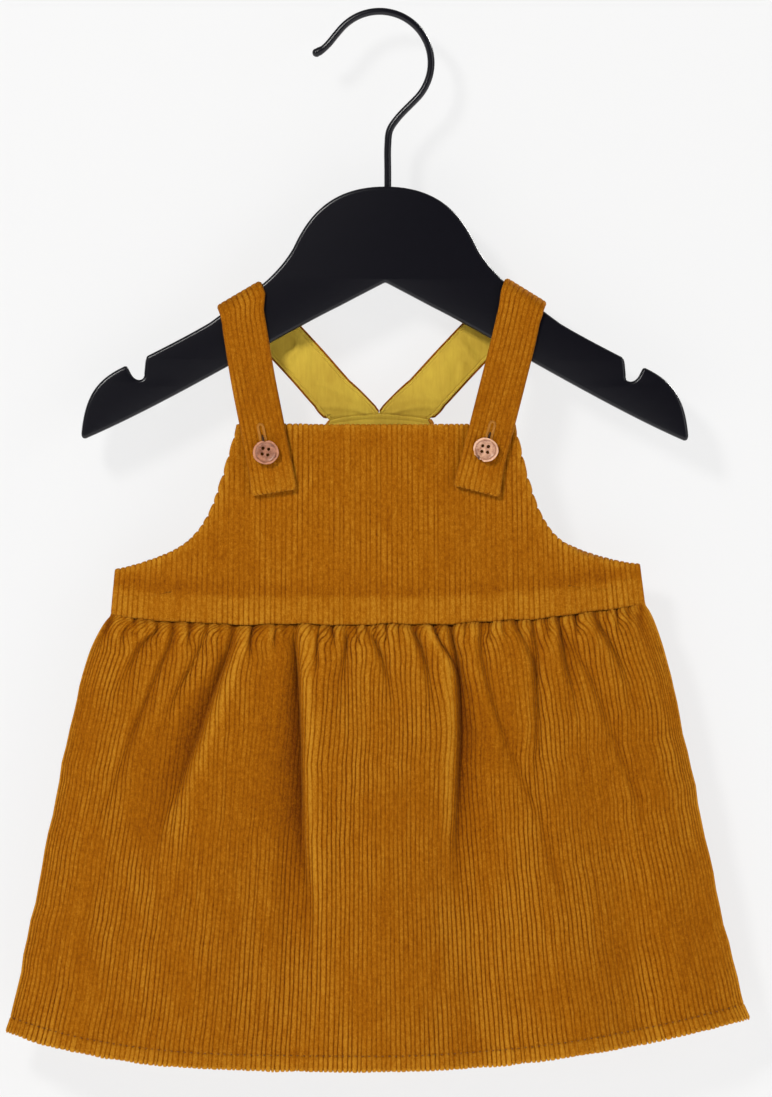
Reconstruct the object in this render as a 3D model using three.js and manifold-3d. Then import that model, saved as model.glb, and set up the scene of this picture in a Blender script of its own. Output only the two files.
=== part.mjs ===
// A child's pinafore dress of corduroy on its wooden hanger, in millimetres, +Z up, front towards -Y.
// The origin is the inside top of the hook, where a rail or a wall hook carries it.
import * as THREE from "three";
import { mergeVertices } from "three/addons/utils/BufferGeometryUtils.js";
import Module from "manifold-3d";

const wasm = await Module();
wasm.setup();

// Cloth
const WALE = 2.54; // one rib of the corduroy, ten to the inch
const RIB = 0.7; // height of a rib over the ground between ribs
const CLOTH = 1.3; // corduroy without its ribs
const LINING = 1.0; // woven cotton
const SEAM_GAP = 0.3; // between pieces that are sewn to, or lie on, each other
const EDGE_SCALLOP = 0.4; // a rib's end stands this far over a cut edge

// Heights on the centre line
const BIB_TOP = -196.9;
const BACK_NECK = -191.6;
const WAIST = -292.6;
const HEM = -506;

// Each side of the garment. It hangs a little higher on the right.
const SIDES = {
  left: {
    waistHalf: 128.6,
    waistRise: 4.8,
    waistPower: 5,
    underarmHalf: 126.7,
    underarm: -266.6,
    quickFlare: 9,
    steadyFlare: 39.6,
    hemKick: 1.2,
    hemRise: 18.5,
    hemPower: 3.5,
    frontArmhole: { cornerX: 68.2, cornerZ: -199.2, topLean: 0.27, topReach: 45, endSlope: 0.22, endReach: 45 },
    backArmhole: { cornerX: 24, cornerZ: -194.7, topLean: 0.6, topReach: 30, endSlope: 0.2, endReach: 42 },
  },
  right: {
    waistHalf: 127.7,
    waistRise: 10,
    waistPower: 2.3,
    underarmHalf: 125.3,
    underarm: -263.9,
    quickFlare: 5.5,
    steadyFlare: 41.4,
    hemKick: 3.2,
    hemRise: 24.8,
    hemPower: 1.95,
    frontArmhole: { cornerX: 65, cornerZ: -198.6, topLean: 0.23, topReach: 48, endSlope: 0.08, endReach: 45 },
    backArmhole: { cornerX: 25, cornerZ: -194.5, topLean: 0.6, topReach: 30, endSlope: 0.07, endReach: 42 },
  },
};
const FLARE_SHARE = 0.07; // share of the skirt's length in which the quick flare is over

// How far each layer's inside stands from the middle plane
const DEPTHS = {
  front: { top: 7.2, waist: 9.5, hem: 19, bow: 3, hemBow: 2.6 },
  back: { top: 7.6, waist: 9, hem: 16, bow: 3, hemBow: 2.6 },
};

// Gathers along the waist seam
const GATHERS = { count: 32, height: 1.3, fade: 0.11, unevenness: 0.9, heightChange: 0.3 };

// Folds of the skirt: place at the waist and the hem, in millimetres from the middle; depth inwards;
// half width; share of the skirt's length where the fold has died out; and how much is there at the seam.
const FRONT_FOLDS = [
  { waist: -105, hem: -158, depth: 2.6, width: 7, reach: 0.55, start: 0.6 },
  { waist: -67, hem: -140, depth: 4.6, width: 9, reach: 0.85, start: 0.4 },
  { waist: -41, hem: -35, depth: 5.4, width: 8, reach: 0.9, start: 0.4 },
  { waist: -16, hem: -13, depth: 1.8, width: 5, reach: 0.3, start: 0.9 },
  { waist: -4, hem: 1, depth: 1.5, width: 5, reach: 0.25, start: 0.9 },
  { waist: 31, hem: 45, depth: 6.2, width: 8, reach: 0.95, start: 0.4 },
  { waist: 75, hem: 75, depth: 3.2, width: 6, reach: 0.45, start: 0.8 },
  { waist: 89, hem: 165, depth: 3.4, width: 7, reach: 0.6, start: 0.6 },
  { waist: 107, hem: 172, depth: 2.2, width: 6, reach: 0.4, start: 0.6 },
];
const BACK_FOLDS = [
  { waist: -98, hem: -150, depth: 3.0, width: 8, reach: 0.6, start: 0.6 },
  { waist: -58, hem: -92, depth: 4.8, width: 9, reach: 0.9, start: 0.4 },
  { waist: -27, hem: -30, depth: 2.4, width: 6, reach: 0.4, start: 0.8 },
  { waist: 4, hem: 8, depth: 5.2, width: 8, reach: 0.85, start: 0.4 },
  { waist: 47, hem: 66, depth: 4.2, width: 8, reach: 0.75, start: 0.5 },
  { waist: 72, hem: 98, depth: 2.0, width: 6, reach: 0.35, start: 0.9 },
  { waist: 99, hem: 150, depth: 3.2, width: 8, reach: 0.65, start: 0.6 },
];

// Soft swells that grow towards the hem: place there, height outwards and half width
const FRONT_SWELLS = [
  { hem: -150, height: 3.0, width: 15 },
  { hem: -97, height: 4.6, width: 22 },
  { hem: -48, height: -3.0, width: 15 },
  { hem: 2, height: 5.0, width: 26 },
  { hem: 49, height: -4.4, width: 14 },
  { hem: 93, height: 4.4, width: 20 },
  { hem: 128, height: -2.2, width: 11 },
  { hem: 153, height: 2.6, width: 12 },
];
const BACK_SWELLS = [
  { hem: -136, height: 3.6, width: 18 },
  { hem: -92, height: -3.4, width: 14 },
  { hem: -45, height: 4.8, width: 24 },
  { hem: 6, height: -3.8, width: 15 },
  { hem: 56, height: 4.2, width: 24 },
  { hem: 104, height: -2.8, width: 13 },
  { hem: 142, height: 3.2, width: 15 },
];

// Straps: a course for the inside face, from the buttoned end on the bib, up over the hanger's arm and
// down to the back neck. "on" says what the row lies on; lean turns the width from level, in degrees.
const STRAP = { width: 21, wales: 8, neckWidth: 24.6 };
const LEFT_COURSE = [
  { on: "bib", x: -49.6, z: -229.4, lean: 13 },
  { on: "bib", x: -52.6, z: -214, lean: 12 },
  { on: "bib", x: -56.3, z: -195.5, lean: 11 },
  { on: "air", x: -60.2, z: -176, lean: 11 },
  { on: "armFront", x: -63.4, z: -158, lean: 14 },
  { on: "armFront", x: -66.0, z: -145, lean: 26 },
  { on: "armTop", x: -66.9 },
  { on: "armBack", x: -61.6, z: -142.6, lean: 43 },
  { on: "armBack", x: -50.6, z: -151.2, lean: 45 },
  { on: "air", x: -36.0, z: -166.4, lean: 46 },
  { on: "air", x: -22.6, z: -181.6, lean: 38 },
  { on: "neck", x: -13.0, z: -191.6, lean: 5, wide: true },
];
const RIGHT_COURSE = [
  { on: "bib", x: 46.0, z: -229.0, lean: -15 },
  { on: "bib", x: 49.9, z: -214, lean: -15 },
  { on: "bib", x: 54.6, z: -195.5, lean: -14 },
  { on: "air", x: 59.6, z: -176, lean: -14 },
  { on: "armFront", x: 64.6, z: -156, lean: -18 },
  { on: "armFront", x: 67.6, z: -144, lean: -28 },
  { on: "armTop", x: 70.0 },
  { on: "armBack", x: 63.6, z: -142.4, lean: -43 },
  { on: "armBack", x: 52.6, z: -150.6, lean: -45 },
  { on: "air", x: 37.6, z: -165.8, lean: -46 },
  { on: "air", x: 23.4, z: -181.2, lean: -38 },
  { on: "neck", x: 13.2, z: -191.4, lean: -5, wide: true },
];

const BUTTON = { across: 13, thick: 2.6, rim: 1.6, dish: 0.7, hole: 1.7, holeSpacing: 3.0 };
const BUTTON_PLACES = [
  { name: "left_button", x: -54.2, z: -210 },
  { name: "right_button", x: 51.1, z: -208.8 },
];

// Hanger: one half of its outline, out from its middle line, then mirrored
const HANGER = { middle: 3.2, thick: 12, bevel: 1.6, hole: 4.3, holeDepth: 14, top: -82.4, tilt: 0.2 };
const ARM_TOP = { slope: 36.5, x: 70.5, z: -137.9 }; // the straight stretch under a strap
const NOTCH = { x: 116.8, width: 4.6, mouth: -164.4, foot: -175.7, lean: 11 };
const HOOK = {
  wire: 3.5,
  radius: 24.7,
  middle: 0.3,
  tipStraight: 17,
  stemX: 4.2,
  stemTop: -57,
  stemFoot: -94,
};

const COLOURS = {
  corduroy: { color: 0xa1600c, roughness: 0.95, metalness: 0 },
  cotton: { color: 0xc3a03f, roughness: 0.9, metalness: 0 },
  coconut: { color: 0xb48a70, roughness: 0.55, metalness: 0 },
  blackWood: { color: 0x18171d, roughness: 0.35, metalness: 0 },
  blackWire: { color: 0x1b1a22, roughness: 0.25, metalness: 0.6 },
};

const vec = (x, y, z) => new THREE.Vector3(x, y, z);
const lerp = THREE.MathUtils.lerp;
const smooth = THREE.MathUtils.smoothstep;
const radians = THREE.MathUtils.degToRad;
const bump = (offset, width) => Math.exp(-((offset / width) ** 2));
const sideOf = (x) => (x < 0 ? SIDES.left : SIDES.right);
const ribAt = (column) => (column % 2 ? RIB : 0);

// ---- The garment's outline ----

function seamHeight(across) {
  const side = sideOf(across);
  return WAIST + side.waistRise * Math.abs(across) ** side.waistPower;
}

function hemHeight(across) {
  const side = sideOf(across);
  return HEM + side.hemRise * Math.abs(across) ** side.hemPower;
}

function skirtHalf(side, down) {
  const quick = side.quickFlare * (1 - Math.exp(-down / FLARE_SHARE));
  return side.waistHalf + quick + side.steadyFlare * down + side.hemKick * down ** 10;
}

// The height of an armhole's edge at a distance out from the middle.
function armholeHeight(side, edge, x) {
  const xs = [
    edge.cornerX,
    edge.cornerX + edge.topLean * edge.topReach,
    side.underarmHalf - edge.endReach,
    side.underarmHalf,
  ];
  const zs = [
    edge.cornerZ,
    edge.cornerZ - edge.topReach,
    side.underarm + edge.endSlope * edge.endReach,
    side.underarm,
  ];
  const at = (p, t) =>
    p[0] * (1 - t) ** 3 + 3 * p[1] * t * (1 - t) ** 2 + 3 * p[2] * t * t * (1 - t) + p[3] * t ** 3;
  let low = 0;
  let high = 1;
  for (let i = 0; i < 30; i++) {
    const middle = (low + high) / 2;
    if (at(xs, middle) < x) low = middle;
    else high = middle;
  }
  return at(zs, low);
}

function frontTop(x) {
  const side = sideOf(x);
  const edge = side.frontArmhole;
  return Math.abs(x) <= edge.cornerX ? BIB_TOP : armholeHeight(side, edge, Math.abs(x));
}

function backTop(x) {
  const side = sideOf(x);
  const edge = side.backArmhole;
  if (Math.abs(x) > edge.cornerX) return armholeHeight(side, edge, Math.abs(x));
  return lerp(BACK_NECK, edge.cornerZ, (x / edge.cornerX) ** 2);
}

// How far the inside of the bodice stands from the middle plane.
function bodiceDepth(depths, x, z) {
  const share = (BIB_TOP - z) / (BIB_TOP - WAIST);
  const across = Math.min(1, Math.abs(x) / sideOf(x).waistHalf);
  return SEAM_GAP / 2 + lerp(depths.top, depths.waist, share) * (1 - across ** depths.bow);
}

// ---- Walls of cloth ----

// Joins two rows of corners that are cut to different lengths.
function zip(triangles, a, aShares, b, bShares) {
  let i = 0;
  let j = 0;
  while (i < a.length - 1 || j < b.length - 1) {
    const stepA = j === b.length - 1 || (i < a.length - 1 && aShares[i + 1] <= bShares[j + 1]);
    if (stepA) {
      triangles.push(a[i], a[i + 1], b[j]);
      i++;
    } else {
      triangles.push(a[i], b[j + 1], b[j]);
      j++;
    }
  }
}

// A closed wall between an outer and an inner face, each a list of rows of points. The rows match; the
// columns need not, and shares say where each lies across the wall.
function wall(outer, outerShares, inner, innerShares) {
  const points = [];
  const number = (rows) => rows.map((row) => row.map((p) => points.push(p) - 1));
  const out = number(outer);
  const inn = number(inner);
  const triangles = [];
  const sheet = (rows, turned) => {
    for (let r = 0; r + 1 < rows.length; r++)
      for (let c = 0; c + 1 < rows[r].length; c++) {
        const [p, q, s, t] = [rows[r][c], rows[r][c + 1], rows[r + 1][c + 1], rows[r + 1][c]];
        if (turned) triangles.push(p, s, q, p, t, s);
        else triangles.push(p, q, s, p, s, t);
      }
  };
  sheet(out, false);
  sheet(inn, true);
  const last = out.length - 1;
  zip(triangles, inn[0], innerShares, out[0], outerShares);
  zip(triangles, out[last], outerShares, inn[last], innerShares);
  const columns = (rows, end) => rows.map((row) => (end ? row[row.length - 1] : row[0]));
  const steps = out.map((row, r) => r);
  zip(triangles, columns(out, false), steps, columns(inn, false), steps);
  zip(triangles, columns(inn, true), steps, columns(out, true), steps);
  return closed(points, triangles);
}

// Makes the geometry, with its faces turned outwards.
function closed(points, triangles) {
  let volume = 0;
  for (let i = 0; i < triangles.length; i += 3) {
    const [a, b, c] = [0, 1, 2].map((k) => points[triangles[i + k]]);
    volume += a.dot(b.clone().cross(c));
  }
  const index = volume > 0 ? triangles : [...triangles].reverse();
  const geometry = new THREE.BufferGeometry();
  geometry.setAttribute("position", new THREE.Float32BufferAttribute(points.flatMap((p) => p.toArray()), 3));
  geometry.setIndex(index);
  return geometry;
}

const even = (count) => Array.from({ length: count + 1 }, (unused, k) => k / count);

// ---- Bodice ----

const BODICE_WALES = Math.round((SIDES.left.waistHalf + SIDES.right.waistHalf) / WALE);
const BODICE_ROWS = [0, 0.3, 0.65, 1];

// A point of a bodice panel, from its share across (-1 to 1) and up (0 to 1), before it gets a depth.
function bodicePoint(topHeight, across, up, scallop) {
  const side = sideOf(across);
  const foot = { x: across * side.waistHalf, z: seamHeight(across) + SEAM_GAP / 2 };
  const x = across * side.underarmHalf;
  const head = { x, z: topHeight(x) + scallop };
  return { x: lerp(foot.x, head.x, up), z: lerp(foot.z, head.z, up) };
}

function bodicePanel(facing, topHeight, depths) {
  const outerShares = even(2 * BODICE_WALES);
  const innerShares = even(Math.round(BODICE_WALES / 3));
  const face = (shares, ribbed) =>
    BODICE_ROWS.map((up) =>
      shares.map((share, column) => {
        const rib = ribbed ? ribAt(column) : 0;
        const { x, z } = bodicePoint(topHeight, 2 * share - 1, up, rib ? EDGE_SCALLOP : 0);
        const depth = bodiceDepth(depths, x, z) + (ribbed ? CLOTH + rib : 0);
        return vec(x, facing * depth, z);
      }),
    );
  return wall(face(outerShares, true), outerShares, face(innerShares, false), innerShares);
}

// The facing lies inside the back bodice, below its neck edge.
function backFacing() {
  const topHalf = 23.4;
  const footHalf = 36;
  const height = 28;
  const shares = even(10);
  const face = (offset) =>
    even(3).map((down) =>
      shares.map((share) => {
        const across = 2 * share - 1;
        const x = across * lerp(topHalf, footHalf, down);
        const top = backTop(across * topHalf);
        const z = lerp(top, BACK_NECK - height, down) - (1 - across ** 2) * 3 * down;
        return vec(x, bodiceDepth(DEPTHS.back, x, z) - SEAM_GAP - offset, z);
      }),
    );
  return wall(face(0), shares, face(LINING), shares);
}

// ---- Skirt ----

const SKIRT_WALES = 157;
const SKIRT_ROWS = [0, 0.06, 0.17, 0.4, 0.7, 1];

function gatherPhase(across) {
  const turns = (GATHERS.count * (across + 1)) / 2;
  return 2 * Math.PI * turns + GATHERS.unevenness * (Math.sin(7.3 * across) + Math.sin(17 * across + 1));
}

// How far the skirt stands out from its plain form.
function skirtRelief(folds, swells, across, x, down) {
  const half = (share) => skirtHalf(sideOf(x), share);
  let relief = 0;
  for (const fold of folds) {
    const middle = lerp(fold.waist, fold.hem, down);
    const alive = 1 - smooth(down, 0.35 * fold.reach, fold.reach);
    const shown = lerp(fold.start, 1, smooth(down, 0, 0.15)) * alive;
    relief -= fold.depth * shown * bump(x - middle, fold.width * (1 + 0.5 * down));
  }
  for (const swell of swells) {
    const middle = (swell.hem * half(down)) / half(1);
    relief += swell.height * smooth(down, 0.05, 0.9) * bump(x - middle, swell.width);
  }
  const height = GATHERS.height * (1 + GATHERS.heightChange * Math.sin(23 * across + 2));
  relief += height * Math.exp(-((down / GATHERS.fade) ** 1.5)) * (1 + Math.cos(gatherPhase(across)));
  return relief * (1 - Math.abs(across) ** 8);
}

// A point on the inside of a skirt panel, from its share across (-1 to 1) and down (0 to 1).
function skirtPoint(facing, depths, folds, swells, across, down) {
  const side = sideOf(across);
  const x = across * skirtHalf(side, down);
  const z = lerp(seamHeight(across) - SEAM_GAP / 2, hemHeight(across), down);
  const bow = lerp(depths.bow, depths.hemBow, down);
  const depth = lerp(depths.waist, depths.hem, down) * (1 - Math.abs(across) ** bow);
  const relief = skirtRelief(folds, swells, across, x, down);
  return vec(x, facing * (SEAM_GAP / 2 + depth + relief), z);
}

// Places along one row at equal lengths of cloth, so that ribs crowd on the sides of a fold.
function clothPlaces(pointAt, count) {
  const fine = 1200;
  const lengths = [0];
  let before = pointAt(-1);
  for (let i = 1; i <= fine; i++) {
    const here = pointAt((2 * i) / fine - 1);
    lengths.push(lengths[i - 1] + before.distanceTo(here));
    before = here;
  }
  const places = [];
  let i = 0;
  for (let k = 0; k <= count; k++) {
    const wanted = (lengths[fine] * k) / count;
    while (i < fine - 1 && lengths[i + 1] < wanted) i++;
    const part = (wanted - lengths[i]) / (lengths[i + 1] - lengths[i]);
    places.push((2 * (i + Math.min(1, part))) / fine - 1);
  }
  return places;
}

// The plain inside has a column at the top and the bottom of each gather.
function gatherPlaces() {
  const places = [-1];
  const fine = 4000;
  let next = Math.ceil(gatherPhase(-1) / Math.PI + 0.4);
  for (let i = 1; i < fine; i++) {
    const across = (2 * i) / fine - 1;
    if (across > 0.985) break;
    if (gatherPhase(across) >= next * Math.PI) {
      places.push(across);
      next++;
    }
  }
  return [...places, 1];
}

function skirtPanel(facing, depths, folds, swells) {
  const innerPlaces = gatherPlaces();
  const innerShares = innerPlaces.map((place) => (place + 1) / 2);
  const outer = [];
  const inner = [];
  let outerShares;
  for (const down of SKIRT_ROWS) {
    const pointAt = (across) => skirtPoint(facing, depths, folds, swells, across, down);
    const places = clothPlaces(pointAt, 2 * SKIRT_WALES);
    outerShares ??= places.map((place) => (place + 1) / 2);
    outer.push(
      places.map((across, column) => {
        const point = pointAt(across);
        point.y += facing * (CLOTH + ribAt(column));
        return point;
      }),
    );
    inner.push(innerPlaces.map(pointAt));
  }
  return wall(outer, outerShares, inner, innerShares);
}

// ---- Straps ----

// The hanger's arm under a strap: the height of its top edge, and its slope down and out on that side.
function armTop(x) {
  const side = Math.sign(x);
  const tilt = radians(HANGER.tilt);
  const turn = (px, pz) => [
    HANGER.middle + px * Math.cos(tilt) + (pz - HANGER.top) * Math.sin(tilt),
    HANGER.top - px * Math.sin(tilt) + (pz - HANGER.top) * Math.cos(tilt),
  ];
  const [armX, armZ] = turn(side * ARM_TOP.x, ARM_TOP.z);
  const slope = ARM_TOP.slope + side * HANGER.tilt;
  return { slope, z: armZ - Math.tan(radians(slope)) * side * (x - armX) };
}

// The rows of a course with their depth filled in; the row on top of the arm becomes a small arch.
function strapSections(course) {
  const face = HANGER.thick / 2 + SEAM_GAP;
  const side = Math.sign(course[0].x);
  const sections = [];
  for (const row of course) {
    const width = row.wide ? STRAP.neckWidth : STRAP.width;
    if (row.on === "armTop") {
      const arm = armTop(row.x);
      const lean = -side * arm.slope;
      const up = vec(side * Math.sin(radians(arm.slope)), 0, Math.cos(radians(arm.slope)));
      const arch = [
        { y: -face, rise: -3 },
        { y: -face, rise: -HANGER.bevel + 0.1 },
        { y: HANGER.bevel - face, rise: SEAM_GAP + 0.05 },
        { y: 0, rise: SEAM_GAP + 0.2 },
        { y: face - HANGER.bevel, rise: SEAM_GAP + 0.05 },
        { y: face, rise: -HANGER.bevel + 0.1 },
        { y: face, rise: -3 },
      ];
      for (const step of arch) {
        const centre = vec(row.x, step.y, arm.z).addScaledVector(up, step.rise);
        sections.push({ centre, lean, width, twist: 0 });
      }
      continue;
    }
    const onBib = (x) => -(bodiceDepth(DEPTHS.front, x, row.z) + CLOTH + RIB + SEAM_GAP);
    const depth = {
      bib: onBib(row.x),
      armFront: -face,
      armBack: face,
      neck: bodiceDepth(DEPTHS.back, row.x, row.z) - SEAM_GAP - LINING,
    }[row.on];
    const twist = row.on === "bib" ? (onBib(row.x + width / 2) - onBib(row.x - width / 2)) / width : 0;
    sections.push({ centre: vec(row.x, depth ?? NaN, row.z), lean: row.lean, width, twist });
  }
  // A row in the air takes its depth from the rows before and after it.
  for (let i = 0; i < sections.length; i++) {
    if (!Number.isNaN(sections[i].centre.y)) continue;
    let after = i;
    while (Number.isNaN(sections[after].centre.y)) after++;
    const [from, here, to] = [sections[i - 1], sections[i], sections[after]].map((s) => s.centre);
    here.y = lerp(from.y, to.y, (here.z - from.z) / (to.z - from.z));
  }
  return sections;
}

// A strap's layer between two distances from its inside face.
function strapLayer(course, from, to, ribbed) {
  const sections = strapSections(course);
  const path = new THREE.CatmullRomCurve3(sections.map((s) => s.centre), false, "centripetal");
  const last = sections.length - 1;
  const stops = sections.flatMap((section, i) => {
    const long = i < last && section.centre.distanceTo(sections[i + 1].centre) > 6;
    return long ? [i, i + 0.5] : [i];
  });
  const outerShares = even(ribbed ? 2 * STRAP.wales : 1);
  const innerShares = [0, 1];
  const outer = [];
  const inner = [];
  for (const stop of stops) {
    const centre = path.getPoint(stop / last);
    const along = path.getTangent(stop / last);
    const index = Math.min(last - 1, Math.floor(stop));
    const part = stop - index;
    const lean = radians(lerp(sections[index].lean, sections[index + 1].lean, part));
    const width = lerp(sections[index].width, sections[index + 1].width, part);
    const twist = lerp(sections[index].twist, sections[index + 1].twist, part);
    const across = vec(Math.cos(lean), twist, Math.sin(lean)).normalize();
    const outward = across.clone().cross(along).normalize();
    const at = (share, offset) =>
      centre.clone().addScaledVector(across, (share - 0.5) * width).addScaledVector(outward, offset);
    outer.push(outerShares.map((share, column) => at(share, to + (ribbed ? ribAt(column) : 0))));
    inner.push(innerShares.map((share) => at(share, from)));
  }
  return wall(outer, outerShares, inner, innerShares);
}

// ---- Solids that are cut ----

function solidOf(geometry) {
  const plain = geometry.index ? geometry.toNonIndexed() : geometry.clone();
  plain.deleteAttribute("normal");
  plain.deleteAttribute("uv");
  const merged = mergeVertices(plain, 1e-4);
  const mesh = new wasm.Mesh({
    numProp: 3,
    vertProperties: merged.attributes.position.array,
    triVerts: new Uint32Array(merged.index.array),
  });
  return new wasm.Manifold(mesh);
}

function geometryOf(solid) {
  const mesh = solid.getMesh();
  const geometry = new THREE.BufferGeometry();
  geometry.setAttribute("position", new THREE.BufferAttribute(mesh.vertProperties, 3));
  geometry.setIndex(new THREE.BufferAttribute(mesh.triVerts, 1));
  return geometry;
}

// ---- Buttons ----

function button() {
  const radius = BUTTON.across / 2;
  const top = BUTTON.thick;
  const profile = [
    [0, 0],
    [radius - 0.8, 0],
    [radius, 0.9],
    [radius - 0.1, top - 0.4],
    [radius - 0.7, top],
    [radius - BUTTON.rim, top - 0.2],
    [radius - BUTTON.rim - 0.9, top - BUTTON.dish],
    [0, top - BUTTON.dish],
  ].map(([x, y]) => new THREE.Vector2(x, y));
  const holes = [];
  for (const sideways of [-1, 1])
    for (const upwards of [-1, 1]) {
      const hole = new THREE.CylinderGeometry(BUTTON.hole / 2, BUTTON.hole / 2, 4 * top, 6);
      hole.translate((sideways * BUTTON.holeSpacing) / 2, 0, (upwards * BUTTON.holeSpacing) / 2);
      holes.push(solidOf(hole));
    }
  const disc = solidOf(new THREE.LatheGeometry(profile, 18));
  return geometryOf(holes.reduce((solid, hole) => solid.subtract(hole), disc));
}

// The button's back stands clear of the strap's ribs.
function buttonDepth(place) {
  const onBib = bodiceDepth(DEPTHS.front, place.x, place.z) + CLOTH + RIB + SEAM_GAP;
  return -(onBib + LINING + SEAM_GAP + CLOTH + RIB + SEAM_GAP + 0.15);
}

// ---- Hanger ----

// Half of the outline from the top of the dome to the tip and back to the underside's apex.
function hangerHalf() {
  const armSlope = Math.tan(radians(ARM_TOP.slope));
  const onArm = (out) => [out, ARM_TOP.z - armSlope * (out - ARM_TOP.x)];
  const shoulder = new THREE.CubicBezierCurve(
    new THREE.Vector2(0, HANGER.top),
    new THREE.Vector2(27, HANGER.top),
    new THREE.Vector2(37.5, -97.5),
    new THREE.Vector2(44.2, -112),
  );
  const neck = new THREE.QuadraticBezierCurve(
    new THREE.Vector2(44.2, -112),
    new THREE.Vector2(49, -120.6),
    new THREE.Vector2(...onArm(58)),
  );
  const topEnd = new THREE.QuadraticBezierCurve(
    new THREE.Vector2(...onArm(84)),
    new THREE.Vector2(93, -153.4),
    new THREE.Vector2(NOTCH.x - NOTCH.width / 2, NOTCH.mouth),
  );
  const tip = new THREE.CubicBezierCurve(
    new THREE.Vector2(NOTCH.x + NOTCH.width + 2.6, -168.6),
    new THREE.Vector2(138.4, -175.6),
    new THREE.Vector2(144, -183.6),
    new THREE.Vector2(145.6, -201.2),
  );
  const slant = Math.tan(radians(NOTCH.lean));
  const notchDepth = NOTCH.mouth - NOTCH.foot;
  const notch = [
    [NOTCH.x - NOTCH.width / 2 + slant * 1.5, NOTCH.foot + 2],
    [NOTCH.x + 0.4, NOTCH.foot],
    [NOTCH.x + NOTCH.width / 2 + 0.7, NOTCH.foot + 0.6],
    [NOTCH.x + NOTCH.width / 2 + 2.2 + slant * notchDepth * 0.3, NOTCH.foot + 3],
  ].map(([x, y]) => new THREE.Vector2(x, y));
  const underside = new THREE.CubicBezierCurve(
    new THREE.Vector2(143.4, -203.8),
    new THREE.Vector2(104, -186.8),
    new THREE.Vector2(50, -153.6),
    new THREE.Vector2(22, -139.9),
  );
  return [
    ...shoulder.getPoints(10),
    ...neck.getPoints(3).slice(1),
    ...topEnd.getPoints(4),
    ...notch,
    ...tip.getPoints(7),
    ...underside.getPoints(9),
    new THREE.Vector2(9, -133),
    new THREE.Vector2(0, -129.2),
  ];
}

function hanger() {
  const right = hangerHalf();
  const left = right.slice(1, -1).reverse();
  const outline = [...right, ...left.map((p) => new THREE.Vector2(-p.x, p.y))];
  const inset = HANGER.bevel;
  const plate = new THREE.ExtrudeGeometry(new THREE.Shape(outline), {
    depth: HANGER.thick - 2 * inset,
    bevelEnabled: true,
    bevelThickness: inset,
    bevelSize: inset,
    bevelOffset: -inset,
    bevelSegments: 1,
    curveSegments: 1,
  });
  plate.translate(0, 0, inset - HANGER.thick / 2);
  plate.rotateX(Math.PI / 2);
  plate.translate(0, 0, -HANGER.top);
  plate.rotateY(radians(HANGER.tilt));
  plate.translate(HANGER.middle, 0, HANGER.top);
  const bore = new THREE.CylinderGeometry(HANGER.hole / 2, HANGER.hole / 2, 2 * HANGER.holeDepth, 12);
  bore.rotateX(Math.PI / 2);
  bore.translate(HOOK.stemX, 0, HANGER.top);
  return geometryOf(solidOf(plate).subtract(solidOf(bore)));
}

// The wire: a straight tip, round the circle, then an easy turn back into the stem.
class HookLine extends THREE.Curve {
  constructor() {
    super();
    const centre = vec(HOOK.middle, 0, HOOK.wire / 2 - HOOK.radius);
    const onCircle = (angle, radius = HOOK.radius) =>
      vec(centre.x + radius * Math.cos(angle), 0, centre.z + radius * Math.sin(angle));
    const start = radians(137);
    const end = radians(-46);
    const points = [];
    const tipWay = vec(-Math.sin(start), 0, Math.cos(start)).multiplyScalar(HOOK.tipStraight);
    points.push(onCircle(start).add(tipWay));
    points.push(onCircle(start).addScaledVector(tipWay, 0.5));
    const arcSteps = 22;
    for (let i = 0; i <= arcSteps; i++) points.push(onCircle(lerp(start, end, i / arcSteps)));
    points.push(vec(HOOK.stemX + 4.7, 0, HOOK.stemTop + 7.4));
    points.push(vec(HOOK.stemX + 0.9, 0, HOOK.stemTop + 1.5));
    points.push(vec(HOOK.stemX, 0, HOOK.stemTop - 6));
    points.push(vec(HOOK.stemX, 0, (HOOK.stemTop + HOOK.stemFoot) / 2));
    points.push(vec(HOOK.stemX, 0, HOOK.stemFoot));
    this.line = new THREE.CatmullRomCurve3(points, false, "centripetal");
  }
  getPoint(t, target = vec(0, 0, 0)) {
    return target.copy(this.line.getPointAt(t));
  }
}

function hangerHook() {
  const radius = HOOK.wire / 2;
  const section = new THREE.Shape();
  section.absarc(0, 0, radius, 0, 2 * Math.PI, false);
  return new THREE.ExtrudeGeometry(section, {
    steps: 42,
    curveSegments: 4,
    bevelEnabled: false,
    extrudePath: new HookLine(),
  });
}

// ---- The whole garment ----

const materials = Object.fromEntries(
  Object.entries(COLOURS).map(([name, look]) => [name, new THREE.MeshStandardMaterial({ name, ...look })]),
);

const garment = new THREE.Group();
garment.name = "pinafore_on_hanger";

function addPiece(name, geometry, material) {
  const mesh = new THREE.Mesh(geometry, material);
  mesh.name = name;
  garment.add(mesh);
  return mesh;
}

addPiece("front_bodice", bodicePanel(-1, frontTop, DEPTHS.front), materials.corduroy);
addPiece("back_bodice", bodicePanel(1, backTop, DEPTHS.back), materials.corduroy);
addPiece("back_facing", backFacing(), materials.cotton);
addPiece("front_skirt", skirtPanel(-1, DEPTHS.front, FRONT_FOLDS, FRONT_SWELLS), materials.corduroy);
addPiece("back_skirt", skirtPanel(1, DEPTHS.back, BACK_FOLDS, BACK_SWELLS), materials.corduroy);

const outside = LINING + SEAM_GAP;
for (const [side, course] of Object.entries({ left: LEFT_COURSE, right: RIGHT_COURSE })) {
  addPiece(side + "_strap", strapLayer(course, outside, outside + CLOTH, true), materials.corduroy);
  addPiece(side + "_strap_lining", strapLayer(course, 0, LINING, false), materials.cotton);
}

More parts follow.
